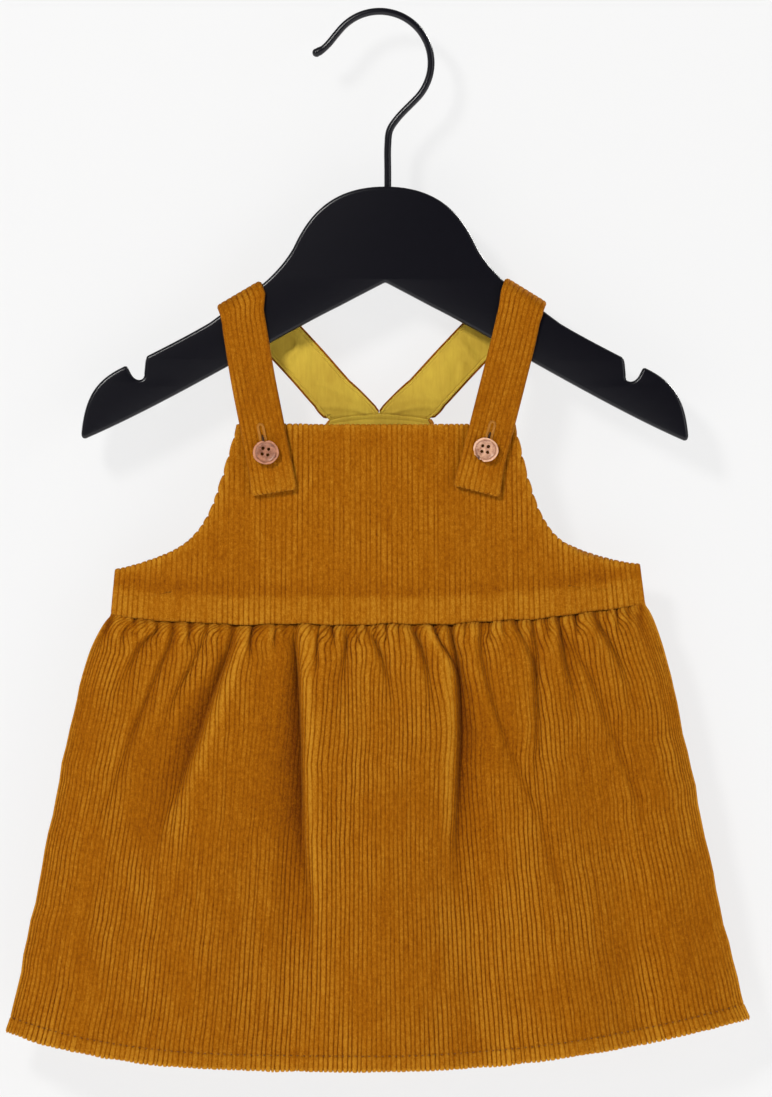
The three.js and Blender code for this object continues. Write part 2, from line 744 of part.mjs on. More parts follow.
for (const place of BUTTON_PLACES) {
  const mesh = addPiece(place.name, button(), materials.coconut);
  mesh.rotation.x = Math.PI; // its face turned to the front
  mesh.position.set(place.x, buttonDepth(place), place.z);
}

addPiece("hanger", hanger(), materials.blackWood);
addPiece("hanger_hook", hangerHook(), materials.blackWire);

export default garment;
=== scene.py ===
# A child's corduroy pinafore dress on a black wooden hanger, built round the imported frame.
import math

import bpy
import numpy as np
from mathutils import Matrix, Vector, noise


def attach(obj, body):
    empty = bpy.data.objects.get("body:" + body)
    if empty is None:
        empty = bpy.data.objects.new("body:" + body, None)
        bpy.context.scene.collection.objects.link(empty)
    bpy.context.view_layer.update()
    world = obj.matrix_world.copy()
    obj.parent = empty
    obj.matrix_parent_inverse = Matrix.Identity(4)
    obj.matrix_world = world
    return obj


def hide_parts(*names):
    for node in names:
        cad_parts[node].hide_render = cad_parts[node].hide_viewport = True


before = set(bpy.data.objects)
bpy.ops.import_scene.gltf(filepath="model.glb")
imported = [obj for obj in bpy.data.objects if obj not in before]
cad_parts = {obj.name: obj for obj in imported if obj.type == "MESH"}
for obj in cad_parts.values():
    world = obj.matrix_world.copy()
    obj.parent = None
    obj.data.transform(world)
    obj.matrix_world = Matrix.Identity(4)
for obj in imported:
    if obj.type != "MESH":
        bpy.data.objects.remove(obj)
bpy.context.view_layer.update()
bpy.ops.object.select_all(action="DESELECT")
mm = 0.001

studio = {
    "aim": (3.36, -256.1),  # across and up, in millimetres
    "viewHeight": 526.6,  # millimetres of the middle plane that fill the picture's height
    "cameraDistance": 8.0,
    "wallBehind": 0.0245,
    "floorLevel": -0.80,
    "pale": (0.93, 0.93, 0.93),
}


def aimedLight(name, place, target, size, power, colour=(1, 1, 1)):
    bpy.ops.object.light_add(type="AREA", location=place)
    light = bpy.context.object
    light.name = name
    light.data.shape = "DISK"
    light.data.size = size
    light.data.energy = power
    light.data.color = colour
    light.rotation_euler = (Vector(target) - Vector(place)).to_track_quat("-Z", "Y").to_euler()


def addNode(tree, kind, inputs=None, **settings):
    node = tree.nodes.new(kind)
    for key, value in settings.items():
        setattr(node, key, value)
    for key, value in (inputs or {}).items():
        if isinstance(value, bpy.types.NodeSocket):
            tree.links.new(value, node.inputs[key])
        else:
            node.inputs[key].default_value = value
    return node


def calc(tree, operation, first, second=0.0):
    node = addNode(tree, "ShaderNodeMath", {0: first, 1: second}, operation=operation)
    return node.outputs[0]


def times(tree, first, second):
    return calc(tree, "MULTIPLY", first, second)


def minus(tree, first, second):
    return calc(tree, "SUBTRACT", first, second)


def ranged(tree, value, low=0.0, high=1.0, start=0.0, end=1.0):
    inputs = {"Value": value, "From Min": low, "From Max": high, "To Min": start, "To Max": end}
    return addNode(tree, "ShaderNodeMapRange", inputs).outputs[0]


def blended(tree, share, first, second):
    inputs = {0: share, 6: first, 7: second}
    return addNode(tree, "ShaderNodeMix", inputs, data_type="RGBA").outputs[2]


# Seen from behind it is clear, so that the part shows from every side.
def stageMaterial(name, brightness, glow, onlyForCamera):
    material = bpy.data.materials.new(name)
    material.use_nodes = True
    tree = material.node_tree
    tree.nodes.clear()
    dull = addNode(tree, "ShaderNodeBsdfDiffuse", {"Color": (*[brightness] * 3, 1)})
    shine = addNode(tree, "ShaderNodeEmission", {"Color": (1, 1, 1, 1), "Strength": glow})
    paint = addNode(tree, "ShaderNodeAddShader", {0: dull.outputs[0], 1: shine.outputs[0]})
    clear = addNode(tree, "ShaderNodeBsdfTransparent")
    shown = addNode(tree, "ShaderNodeValue")
    shown.outputs[0].default_value = 1.0
    back = addNode(tree, "ShaderNodeNewGeometry").outputs["Backfacing"]
    share = minus(tree, shown.outputs[0], back)
    if onlyForCamera:
        seen = addNode(tree, "ShaderNodeLightPath").outputs["Is Camera Ray"]
        share = times(tree, share, seen)
    both = addNode(tree, "ShaderNodeMixShader", {0: share, 1: clear.outputs[0], 2: paint.outputs[0]})
    addNode(tree, "ShaderNodeOutputMaterial", {"Surface": both.outputs[0]})
    return material


def buildStudio():
    aimX, aimZ = (value * mm for value in studio["aim"])
    bpy.ops.object.camera_add(location=(aimX, -studio["cameraDistance"], aimZ), rotation=(math.pi / 2, 0, 0))
    camera = bpy.context.object
    camera.data.lens = camera.data.sensor_width * studio["cameraDistance"] / (studio["viewHeight"] * mm)
    camera.data.clip_end = 100
    bpy.context.scene.camera = camera

    bpy.ops.mesh.primitive_plane_add(size=8, location=(0, 0, studio["floorLevel"]))
    floor = bpy.context.object
    floor.name = "studioFloor"
    floor.data.materials.append(stageMaterial("paleFloor", 0.6, 0.9, onlyForCamera=False))
    wallCentre = (0, studio["wallBehind"], studio["floorLevel"] + 3)
    bpy.ops.mesh.primitive_plane_add(size=6, location=wallCentre, rotation=(math.pi / 2, 0, 0))
    wall = bpy.context.object
    wall.name = "studioWall"
    wall.data.materials.append(stageMaterial("paleWall", 0.11, 0.765, onlyForCamera=True))

    middle = (0, 0, -0.27)
    aimedLight("keyLight", (-1.05, -1.85, 1.0), middle, 0.5, 55, (1, 0.99, 0.97))
    aimedLight("fillLight", (2.0, -1.5, 0.3), middle, 1.3, 16, (0.97, 0.98, 1))
    aimedLight("backKeyLight", (1.6, 1.4, 0.9), middle, 0.7, 66, (1, 0.99, 0.97))
    aimedLight("backFillLight", (-1.9, 1.7, 0.0), middle, 1.5, 14, (0.97, 0.98, 1))

    world = bpy.data.worlds.new("studioAir")
    world.use_nodes = True
    bpy.context.scene.world = world
    tree = world.node_tree
    tree.nodes.clear()
    seen = addNode(tree, "ShaderNodeLightPath").outputs["Is Camera Ray"]
    way = addNode(tree, "ShaderNodeTexCoord").outputs["Generated"]
    split = addNode(tree, "ShaderNodeSeparateXYZ", {0: way})
    # Little light comes from straight ahead, and more from the sides and behind.
    strength = ranged(tree, split.outputs["Y"], -0.95, 0.1, 0.02, 0.42)
    light = addNode(tree, "ShaderNodeBackground", {"Color": (1, 1, 1, 1), "Strength": strength})
    air = addNode(tree, "ShaderNodeBackground", {"Color": (*studio["pale"], 1), "Strength": 1.0})
    both = addNode(tree, "ShaderNodeMixShader", {0: seen, 1: light.outputs[0], 2: air.outputs[0]})
    addNode(tree, "ShaderNodeOutputWorld", {"Surface": both.outputs[0]})
    bpy.context.scene.view_settings.view_transform = "Standard"


buildStudio()
print("studio ready")


def newGroup(name, inputs, outputs):
    group = bpy.data.node_groups.new(name, "ShaderNodeTree")
    for direction, sockets in (("INPUT", inputs), ("OUTPUT", outputs)):
        for label, kind in sockets.items():
            group.interface.new_socket(label, in_out=direction, socket_type="NodeSocket" + kind)
    enter = group.nodes.new("NodeGroupInput").outputs
    leave = group.nodes.new("NodeGroupOutput").inputs
    return group, enter, leave


def stretched(tree, vector, scale):
    inputs = {0: vector, 1: scale}
    return addNode(tree, "ShaderNodeVectorMath", inputs, operation="MULTIPLY").outputs[0]


def noiseValue(tree, vector, scale, detail=2.0, roughness=0.5):
    if isinstance(scale, tuple):
        vector, scale = stretched(tree, vector, scale), 1.0
    inputs = {"Vector": vector, "Scale": scale, "Detail": detail, "Roughness": roughness}
    return addNode(tree, "ShaderNodeTexNoise", inputs).outputs[0]


def centred(tree, value, weight):
    return times(tree, minus(tree, value, 0.5), weight)


def added(tree, *values):
    total = values[0]
    for value in values[1:]:
        total = calc(tree, "ADD", total, value)
    return total


def threeTones(tree, tone, dark, middle, light):
    low = times(tree, tone, 2.0)
    high = minus(tree, low, 1.0)
    return blended(tree, high, blended(tree, low, dark, middle), light)


def pileGroup():
    colours = {"Dark": "Color", "Middle": "Color", "Light": "Color"}
    inputs = {"Place": "Vector", "Spot": "Vector", "Napshade": "Float", "Layshade": "Float", **colours}
    group, enter, leave = newGroup("ribbedPile", inputs, {"Color": "Color", "Height": "Float"})
    split = addNode(group, "ShaderNodeSeparateXYZ", {0: enter["Place"]})
    ribs, along = split.outputs["X"], split.outputs["Y"]
    fromCrest = calc(group, "ABSOLUTE", minus(group, calc(group, "FRACT", ribs), 0.5))
    groove = calc(group, "POWER", times(group, fromCrest, 2.0), 4.0)
    ribNumber = calc(group, "FLOOR", ribs)
    onRib = {0: times(group, ribNumber, 3.7), 1: times(group, along, 0.05)}
    streak = noiseValue(group, addNode(group, "ShaderNodeCombineXYZ", onRib).outputs[0], 1.0)
    tuft = noiseValue(group, enter["Place"], (8.0, 1.1, 1.0), 2.0, 0.6)
    patch = noiseValue(group, enter["Spot"], (70.0, 70.0, 30.0), 3.0, 0.55)
    speck = noiseValue(group, enter["Spot"], (760.0, 760.0, 520.0), 2.0, 0.6)
    fuzz = noiseValue(group, enter["Spot"], (2400.0, 2400.0, 2000.0), 1.0)
    # Where the lay mark is low the cloth is darker and its grooves close up; besides patches of flat pile,
    # the mark holds painted shade on slopes facing away from the light and in broad creases.
    layshade = added(group, enter["Layshade"], centred(group, patch, 0.7))
    # The grooves between the ribs are darker: the ground weave shows there, with painted shade added.
    opened = ranged(group, layshade, start=-0.08, end=-0.74)
    tone = added(
        group,
        centred(group, layshade, 0.22),
        centred(group, speck, 0.62),
        centred(group, fuzz, 0.5),
        centred(group, streak, 0.3),
        centred(group, tuft, 0.65),
        times(group, groove, opened),
        # This mark adds painted shade in creases and painted highlights on crests and edges, besides paler
        # and darker bands of the cloth itself.
        enter["Napshade"],
        0.60,
    )
    tones = threeTones(group, tone, enter["Dark"], enter["Middle"], enter["Light"])
    group.links.new(tones, leave["Color"])
    swaying = added(group, along, times(group, tuft, 0.5))
    crossing = calc(group, "SINE", times(group, swaying, 5.2))
    height = added(group, tuft, times(group, crossing, 0.08), times(group, groove, -0.5))
    group.links.new(height, leave["Height"])
    return group


def weaveGroup():
    colours = {"Dark": "Color", "Light": "Color"}
    inputs = {"Place": "Vector", "Spot": "Vector", "Threads": "Float", **colours}
    group, enter, leave = newGroup("plainWeave", inputs, {"Color": "Color", "Height": "Float"})
    place = {0: enter["Place"], 3: enter["Threads"]}
    turns = addNode(group, "ShaderNodeVectorMath", place, operation="SCALE").outputs[0]
    split = addNode(group, "ShaderNodeSeparateXYZ", {0: turns})
    warp = calc(group, "SINE", split.outputs["X"])
    weft = calc(group, "SINE", split.outputs["Y"])
    over = times(group, warp, weft)
    slub = noiseValue(group, enter["Spot"], (900.0, 900.0, 140.0))
    stain = noiseValue(group, enter["Spot"], 55.0, 3.0)
    stained, slubbed = centred(group, stain, 1.4), centred(group, slub, 0.7)
    tone = added(group, stained, slubbed, times(group, over, 0.1), 0.5)
    group.links.new(blended(group, tone, enter["Dark"], enter["Light"]), leave["Color"])
    group.links.new(added(group, over, times(group, slub, 0.8)), leave["Height"])
    return group


def newMaterial(name, **constants):
    material = bpy.data.materials.new(name)
    material.use_nodes = True
    shader = material.node_tree.nodes["Principled BSDF"]
    for socket, value in constants.items():
        shader.inputs[socket.replace("_", " ")].default_value = value
    return material, material.node_tree, shader


def addBump(tree, shader, height, distance, strength):
    inputs = {"Height": height, "Distance": distance, "Strength": strength}
    bump = addNode(tree, "ShaderNodeBump", inputs)
    tree.links.new(bump.outputs[0], shader.inputs["Normal"])


def finishMaterial(name, group, values, bump, **constants):
    material, tree, shader = newMaterial(name, **constants)
    coordinates = addNode(tree, "ShaderNodeTexCoord").outputs
    finish = addNode(tree, "ShaderNodeGroup", node_tree=group)
    for socket, source in (("Place", "UV"), ("Spot", "Object")):
        if socket in finish.inputs:
            tree.links.new(coordinates[source], finish.inputs[socket])
    for mark in ("Napshade", "Layshade"):
        if mark in finish.inputs:
            painted = addNode(tree, "ShaderNodeAttribute", attribute_name=mark.lower())
            tree.links.new(painted.outputs["Fac"], finish.inputs[mark])
    for socket, value in values.items():
        finish.inputs[socket].default_value = value
    tree.links.new(finish.outputs["Color"], shader.inputs["Base Color"])
    addBump(tree, shader, finish.outputs["Height"], *bump)
    return material


pile = pileGroup()
weave = weaveGroup()
pileTones = {
    "Dark": (0.094, 0.019, 0.0001, 1),
    "Middle": (0.234, 0.070, 0.0003, 1),
    "Light": (0.392, 0.172, 0.011, 1),
}
corduroy = finishMaterial(
    "ochreCorduroy",
    pile,
    pileTones,
    (0.00025, 0.5),
    Roughness=0.9,
    Specular_IOR_Level=0.06,
    Sheen_Weight=0.14,
    Sheen_Roughness=0.4,
    Sheen_Tint=(1.0, 0.62, 0.12, 1),
)
clothBack = finishMaterial(
    "corduroyBack",
    weave,
    {"Threads": 7.0, "Dark": (0.24, 0.085, 0.006, 1), "Light": (0.40, 0.16, 0.014, 1)},
    (0.0001, 0.4),
    Roughness=0.9,
    Specular_IOR_Level=0.15,
)
cotton = finishMaterial(
    "oliveCotton",
    weave,
    {"Threads": 14.0, "Dark": (0.325, 0.20, 0.012, 1), "Light": (0.49, 0.345, 0.032, 1)},
    (0.00008, 0.35),
    Roughness=0.75,
    Specular_IOR_Level=0.25,
    Sheen_Weight=0.1,
)


def threadGroup():
    inputs = {"Spot": "Vector", "Dark": "Color", "Light": "Color"}
    group, enter, leave = newGroup("sewingThread", inputs, {"Color": "Color", "Height": "Float"})
    fleck = noiseValue(group, enter["Spot"], 900.0)
    group.links.new(blended(group, fleck, enter["Dark"], enter["Light"]), leave["Color"])
    group.links.new(noiseValue(group, enter["Spot"], 4000.0), leave["Height"])
    return group


thread = threadGroup()


def threadMaterial(name, dark, light):
    tones = {"Dark": dark, "Light": light}
    return finishMaterial(name, thread, tones, (0.0001, 0.4), Roughness=0.7, Specular_IOR_Level=0.3)


brightThread = threadMaterial("buttonholeThread", (0.25, 0.085, 0.003, 1), (0.40, 0.165, 0.014, 1))
slitShade = threadMaterial("slitShade", (0.018, 0.006, 0.001, 1), (0.05, 0.015, 0.002, 1))
brownThread = threadMaterial("brownThread", (0.10, 0.03, 0.004, 1), (0.20, 0.07, 0.01, 1))

garment = {
    "rib": 0.7,  # room that the solids give a rib
    "cloth": 1.3,
    "lining": 1.0,
    "gap": 0.3,
    "bibTop": -196.9,
    "backNeck": -191.6,
    "waist": -292.6,
    "hem": -506.0,
    "flareShare": 0.07,
    "sideWave": 0.35,
    "ribPlaces": (0.0, 0.10, 0.27, 0.5, 0.73, 0.90),  # the corners across one rib, as shares of it
    "ribShape": (0.0, 0.66, 0.93, 1.0, 0.93, 0.66),  # how high each stands
}


# An armhole's curve leaves the top corner leaning outwards, and comes in almost level under the arm.
def armhole(corner, topLean, topReach, endSlope, endReach):
    top, end = {"topLean": topLean, "topReach": topReach}, {"endSlope": endSlope, "endReach": endReach}
    return {"corner": corner, **top, **end}


sides = {
    "left": {
        "waistHalf": 128.6,
        "waistRise": 4.8,
        "waistPower": 5,
        "underarmHalf": 126.7,
        "underarm": -266.6,
        "quickFlare": 9,
        "steadyFlare": 39.6,
        "hemKick": 1.2,
        "hemRise": 18.5,
        "hemPower": 3.5,
        "front": armhole((68.2, -199.2), 0.27, 45, 0.22, 45),
        "back": armhole((24, -194.7), 0.6, 30, 0.2, 42),
    },
    "right": {
        "waistHalf": 127.7,
        "waistRise": 10,
        "waistPower": 2.3,
        "underarmHalf": 125.3,
        "underarm": -263.9,
        "quickFlare": 5.5,
        "steadyFlare": 41.4,
        "hemKick": 3.2,
        "hemRise": 24.8,
        "hemPower": 1.95,
        "front": armhole((65, -198.6), 0.23, 48, 0.08, 45),
        "back": armhole((25, -194.5), 0.6, 30, 0.07, 42),
    },
}
depths = {
    "front": {"facing": -1, "top": 7.2, "waist": 9.5, "hem": 19, "bow": 3, "hemBow": 2.6},
    "back": {"facing": 1, "top": 7.6, "waist": 9, "hem": 16, "bow": 3, "hemBow": 2.6},
}


def mix(low, high, share):
    return low + (high - low) * share


def ease(value, low, high):
    share = np.clip((value - low) / (high - low), 0, 1)
    return share * share * (3 - 2 * share)


def bell(away, width):
    return np.exp(-((away / width) ** 2))


def smoothed(values, window):
    return np.convolve(np.pad(values, len(window) // 2, mode="edge"), window / window.sum(), mode="valid")


def lengthsAlong(points):
    return np.concatenate([[0], np.cumsum(np.linalg.norm(np.diff(points, axis=0), axis=1))])


def perSide(across, key):
    return np.where(across < 0, sides["left"][key], sides["right"][key])


def seamHeight(across):
    wave = (0.32 * np.sin(across * 17 + 0.7) + 0.22 * np.sin(across * 41)) * (1 - across**4)
    rise = perSide(across, "waistRise") * np.abs(across) ** perSide(across, "waistPower")
    return garment["waist"] + rise + wave


def hemHeight(across):
    return garment["hem"] + perSide(across, "hemRise") * np.abs(across) ** perSide(across, "hemPower")


def skirtHalf(across, down):
    quick = perSide(across, "quickFlare") * (1 - np.exp(-down / garment["flareShare"]))
    steady = perSide(across, "steadyFlare") * down + perSide(across, "hemKick") * down**10
    wave = ease(down, 0.06, 0.3) * (np.sin(29 * down + 2 * across) + 0.6 * np.sin(67 * down - 3 * across))
    return perSide(across, "waistHalf") + quick + steady + garment["sideWave"] * wave


def armholeHeight(side, layer, x):
    edge = side[layer]
    cornerX, cornerZ = edge["corner"]
    endX, endZ = side["underarmHalf"], side["underarm"]
    xs = (cornerX, cornerX + edge["topLean"] * edge["topReach"], endX - edge["endReach"], endX)
    zs = (cornerZ, cornerZ - edge["topReach"], endZ + edge["endSlope"] * edge["endReach"], endZ)
    t = np.linspace(0, 1, 600)
    weights = ((1 - t) ** 3, 3 * t * (1 - t) ** 2, 3 * t * t * (1 - t), t**3)
    return np.interp(x, sum(w * v for w, v in zip(weights, xs)), sum(w * v for w, v in zip(weights, zs)))


def topEdge(layer, x):
    heights = np.zeros_like(x)
    for side, members in ((sides["left"], x < 0), (sides["right"], x >= 0)):
        cornerX, cornerZ = side[layer]["corner"]
        out = np.abs(x)
        if layer == "front":
            middle = np.full_like(x, garment["bibTop"])
        else:
            middle = mix(garment["backNeck"], cornerZ, (out / cornerX) ** 2)
        curve = np.where(out <= cornerX, middle, armholeHeight(side, layer, out))
        heights = np.where(members, curve, heights)
    return heights


def bodiceDepth(layer, x, z):
    share = (garment["bibTop"] - z) / (garment["bibTop"] - garment["waist"])
    across = np.minimum(1, np.abs(x) / perSide(x, "waistHalf"))
    depth = mix(depths[layer]["top"], depths[layer]["waist"], share)
    return garment["gap"] / 2 + depth * (1 - across ** depths[layer]["bow"])


def ribColumns(wales):
    places = [wale + part for wale in range(wales) for part in garment["ribPlaces"]]
    heights = list(garment["ribShape"]) * wales
    return np.array(places + [wales]), np.array(heights + [0.0])


def faceNormals(points, outward):
    acrossWay = np.gradient(points, axis=1)
    upWay = np.gradient(points, axis=0)
    normals = np.cross(acrossWay, upWay)
    normals /= np.maximum(np.linalg.norm(normals, axis=2, keepdims=True), 1e-9)
    if (normals * outward).sum() < 0:
        normals = -normals
    return normals


def roundedEdge(distance, radius):
    return np.sqrt(np.clip(1 - (1 - np.clip(distance / radius, 0, 1)) ** 2, 0, 1))


def sheetObject(name, outer, inner, uv, outward, finishes, marks=None):
    marks = marks or {}
    normals = np.cross(np.gradient(outer, axis=1), np.gradient(outer, axis=0))
    if (normals * outward).sum() < 0:
        outer, inner, uv = outer[::-1], inner[::-1], uv[::-1]
        marks = {mark: values[::-1] for mark, values in marks.items()}
    rows, columns = outer.shape[:2]
    bpy.ops.object.select_all(action="DESELECT")
    bpy.ops.mesh.primitive_grid_add(x_subdivisions=columns - 1, y_subdivisions=rows - 1, size=1)
    piece = bpy.context.object
    piece.name = name
    piece.data.name = name
    for finish in finishes:
        piece.data.materials.append(finish)
    wall = piece.modifiers.new("wall", "SOLIDIFY")
    wall.thickness = 0.001
    wall.material_offset = len(finishes) - 1
    bpy.ops.object.modifier_apply(modifier="wall")
    mesh = piece.data
    corners = np.concatenate([outer.reshape(-1, 3), inner.reshape(-1, 3)]) * mm
    mesh.vertices.foreach_set("co", corners.astype(np.float32).ravel())
    cornerOf = np.zeros(len(mesh.loops), dtype=np.int32)
    mesh.loops.foreach_get("vertex_index", cornerOf)
    places = uv.reshape(-1, 2)[cornerOf % (rows * columns)]
    mesh.uv_layers.active.data.foreach_set("uv", places.astype(np.float32).ravel())
    for mark, values in marks.items():
        layer = mesh.attributes.new(mark, "FLOAT", "POINT")
        layer.data.foreach_set("value", np.tile(values.ravel(), 2).astype(np.float32))
    mesh.polygons.foreach_set("use_smooth", np.ones(len(mesh.polygons), dtype=bool))
    mesh.update()
    return piece


# A corduroy wall about its middle face. Its edges roll over, and the ribs go round them.
def ribbedSheet(name, middle, outward, wall, edge, heights, uv, marks, lean=0.8, scallop=1.4):
    (half, inside), (edgeDistance, edgeRadius) = wall, edge
    outward = np.broadcast_to(np.array(outward, dtype=float), middle.shape)
    normals = faceNormals(middle, outward)
    leaning = normals + lean * outward
    leaning /= np.linalg.norm(leaning, axis=2, keepdims=True)
    roll = roundedEdge(edgeDistance, edgeRadius)[..., None]
    outerPlain = middle + leaning * half[..., None] * roll
    innerPlain = middle - leaning * inside[..., None] * roll
    outerNormals = faceNormals(outerPlain, outward)
    innerNormals = faceNormals(innerPlain, -outward)
    wrapped = bell(edgeDistance, edgeRadius)
    outer = outerPlain + outerNormals * (heights * (1 + scallop * wrapped))[..., None]
    inner = innerPlain + innerNormals * (heights * (1 + scallop) * wrapped)[..., None]
    inner[wrapped > 0.999] = outer[wrapped > 0.999] - 0.02 * outerNormals[wrapped > 0.999]
    return sheetObject(name, outer, inner, uv, outward, [corduroy, clothBack], marks)


def choose(piece):
    bpy.ops.object.select_all(action="DESELECT")
    piece.select_set(True)
    bpy.context.view_layer.objects.active = piece


def shadeSmooth(piece, sharpFrom):
    choose(piece)
    bpy.ops.object.shade_smooth_by_angle(angle=math.radians(sharpFrom))


def drill(piece, radius, depth, place, vertices):
    bpy.ops.mesh.primitive_cylinder_add(vertices=vertices, radius=radius, depth=depth, location=place)
    bit = bpy.context.object
    cut = piece.modifiers.new("hole", "BOOLEAN")
    cut.operation = "DIFFERENCE"
    cut.object = bit
    cut.solver = "EXACT"
    bpy.context.view_layer.objects.active = piece
    bpy.ops.object.modifier_apply(modifier="hole")
    bpy.data.objects.remove(bit)


def finishPiece(piece, slot, *nodes):
    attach(piece, "root")
    if nodes:
        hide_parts(*nodes)
    return piece


pilePatches = {"broad": (15, 30), "small": (6, 13), "smallShare": 0.6, "strength": 0.62}


# How far the pile stands open at each place, from 0 where it lies flat to 1.
def pileLay(x, z, seed, openness):
    (wide, high), (fineWide, fineHigh) = pilePatches["broad"], pilePatches["small"]
    values = []
    for a, b in zip(x.ravel(), z.ravel()):
        broad = noise.noise(Vector((a / wide, b / high, seed)))
        small = noise.noise(Vector((a / fineWide, b / fineHigh, seed + 7)))
        values.append(broad + pilePatches["smallShare"] * small)
    return np.clip(openness + pilePatches["strength"] * np.array(values).reshape(x.shape), 0, 1.1)


# Ribs that aren't quite even in width, and sway a little along their length.
def unevenRibs(columns, along):
    ribNumber = np.arange(math.ceil(columns[-1]) + 1)
    bounds = ribNumber + 0.13 * wavering(ribNumber, 0.7)
    bounds[0], bounds[-1] = 0, ribNumber[-1]
    even = np.interp(columns, ribNumber, bounds)[None, :]
    inner = np.minimum(1, np.minimum(columns, columns[-1] - columns))[None, :]
    long, short = np.sin(along / 17 + 2.4 * columns[None, :]), np.sin(along / 7.3 + 1.1 * columns[None, :])
    return even + (0.07 * long + 0.04 * short) * inner


def wavering(column, scale):
    return np.sin(column * 12.9898 * scale) * 0.5 + np.sin(column * 4.1414 * scale + 1.7) * 0.5


def ribHeights(height, ribs, columns, variation, scale):
    return height * (ribs * (1 + variation * wavering(np.floor(columns), scale)))[None, :]


bodice = {
    "wales": 101,
    "pile": 0.36,  # height of the ribs
    "edgeRows": (0.0, 0.1, 0.35, 0.75, 1.4, 2.4, 3.8, 5.6, 6.8, 7.4, 8.0, 9.2),
    "footRows": (0.0, 0.12, 0.4, 0.9, 1.7, 3.0, 5.0, 8.0, 11.0, 12.6, 13.4, 14.2, 15.4),
    "middleRows": 9,
    "edge": 0.8,  # radius on which the edges roll over
    "pileOpen": 0.24,
    "pileSeeds": {"front": 3.0, "back": 11.0},
    "seamAllowance": {"height": 13.2, "lift": 0.35},  # pressed up behind the cloth, it shows as a faint step
    "facing": {"width": 7.4, "dent": 0.28},
    "turnedEdge": 0.2,  # how far it stands proud
    "swell": 0.35,
    "napshade": {"allowance": 0.11, "above": -0.10, "edges": 0.17},  # how much paler or darker the cloth is painted: a paler band over the seam allowance, a darker one above it, and a painted highlight along the edges
}


def bodiceRows(layer, across):
    footX = across * perSide(across, "waistHalf")
    headX = across * perSide(across, "underarmHalf")
    footZ = seamHeight(across) + garment["gap"] / 2
    headZ = topEdge(layer, headX)
    slope = np.gradient(headZ, headX)
    lean = smoothed(np.minimum(np.sqrt(1 + slope**2), 4.0), np.hanning(25))
    total = headZ - footZ
    low = [np.minimum(value, 0.42 * total) for value in bodice["footRows"]]
    fromTop = [np.minimum(value * lean, 0.5 * total * (value / bodice["edgeRows"][-1])) if value > 2.4
               else value * lean for value in bodice["edgeRows"]]
    fromTop = [np.minimum(value, 0.52 * total) for value in fromTop]
    lowest, highest = low[-1], total - fromTop[-1]
    steps = bodice["middleRows"]
    between = [mix(lowest, highest, (k + 1) / (steps + 1)) for k in range(steps)]
    levels = np.array(low + between + [total - value for value in reversed(fromTop)])
    x = mix(footX, headX, levels / total)
    fromEdge = (total - levels) / lean
    return x, footZ + levels, levels, fromEdge, lean


def buildBodice(layer):
    columns, ribs = ribColumns(bodice["wales"])
    across = 2 * unevenRibs(columns, np.zeros((1, 1)))[0] / bodice["wales"] - 1
    x, z, fromFoot, fromEdge, steepness = bodiceRows(layer, across)
    facing = depths[layer]["facing"]
    outward = (0, facing, 0)
    depth = bodiceDepth(layer, x, z) + garment["cloth"] / 2
    step, dent, underarm = bodice["seamAllowance"], bodice["facing"], perSide(x, "underarmHalf")
    pressed = 1 - ease(fromFoot, step["height"] - 1.6, step["height"] + 0.6)
    depth += step["lift"] * pressed * ease(fromFoot, 0, 2)
    ends = ease(np.abs(x), underarm - 22, underarm - 6)
    depth -= dent["dent"] * ends * bell(fromEdge - dent["width"], 0.9)
    # The turned edge stands proud, and the panel swells softly.
    depth += bodice["turnedEdge"] * ease(fromEdge, 0, 1.5) * (1 - ease(fromEdge, 4.5, 7.5))
    swell = bodice["swell"] * np.sin(x / 17 + 0.6) * np.sin(z / 23 + 1)
    depth += swell * ease(fromEdge, 3, 20) * ease(fromFoot, 5, 20)
    middle = np.stack([x, facing * depth, z], axis=2)
    fromSide = np.minimum(x - x[:, :1], x[:, -1:] - x)
    edgeDistance = np.minimum(np.minimum(fromEdge, fromFoot), fromSide)
    half = np.full(x.shape, garment["cloth"] / 2)
    heights = ribHeights(bodice["pile"], ribs, columns, 0.12, 1.0) * np.ones_like(x)
    heights *= 0.25 + 0.75 * ease(fromFoot, 0, 1.2)
    layshade = pileLay(x, z, bodice["pileSeeds"][layer], bodice["pileOpen"])
    heights *= 0.55 + 0.45 * layshade
    uv = np.stack([np.broadcast_to(columns, x.shape), fromFoot], axis=2)
    tones = bodice["napshade"]
    napshade = tones["allowance"] * (1 - ease(fromFoot, 11.5, 14.5)) + tones["above"] * bell(fromFoot - 17, 3.5)
    # A painted highlight along the top edges, where the rolled pile catches light.
    napshade += tones["edges"] * bell(fromEdge, 3.0)
    marks, scallop = {"napshade": napshade, "layshade": layshade}, 1.6 + 0.8 * (steepness - 1)
    wall, edge = (half, half), (edgeDistance, bodice["edge"])
    piece = ribbedSheet(layer + "Bodice", middle, outward, wall, edge, heights, uv, marks, scallop=scallop)
    return finishPiece(piece, "corduroy", layer + "_bodice")


frontBodice = buildBodice("front")
backBodice = buildBodice("back")
print("bodice ready")


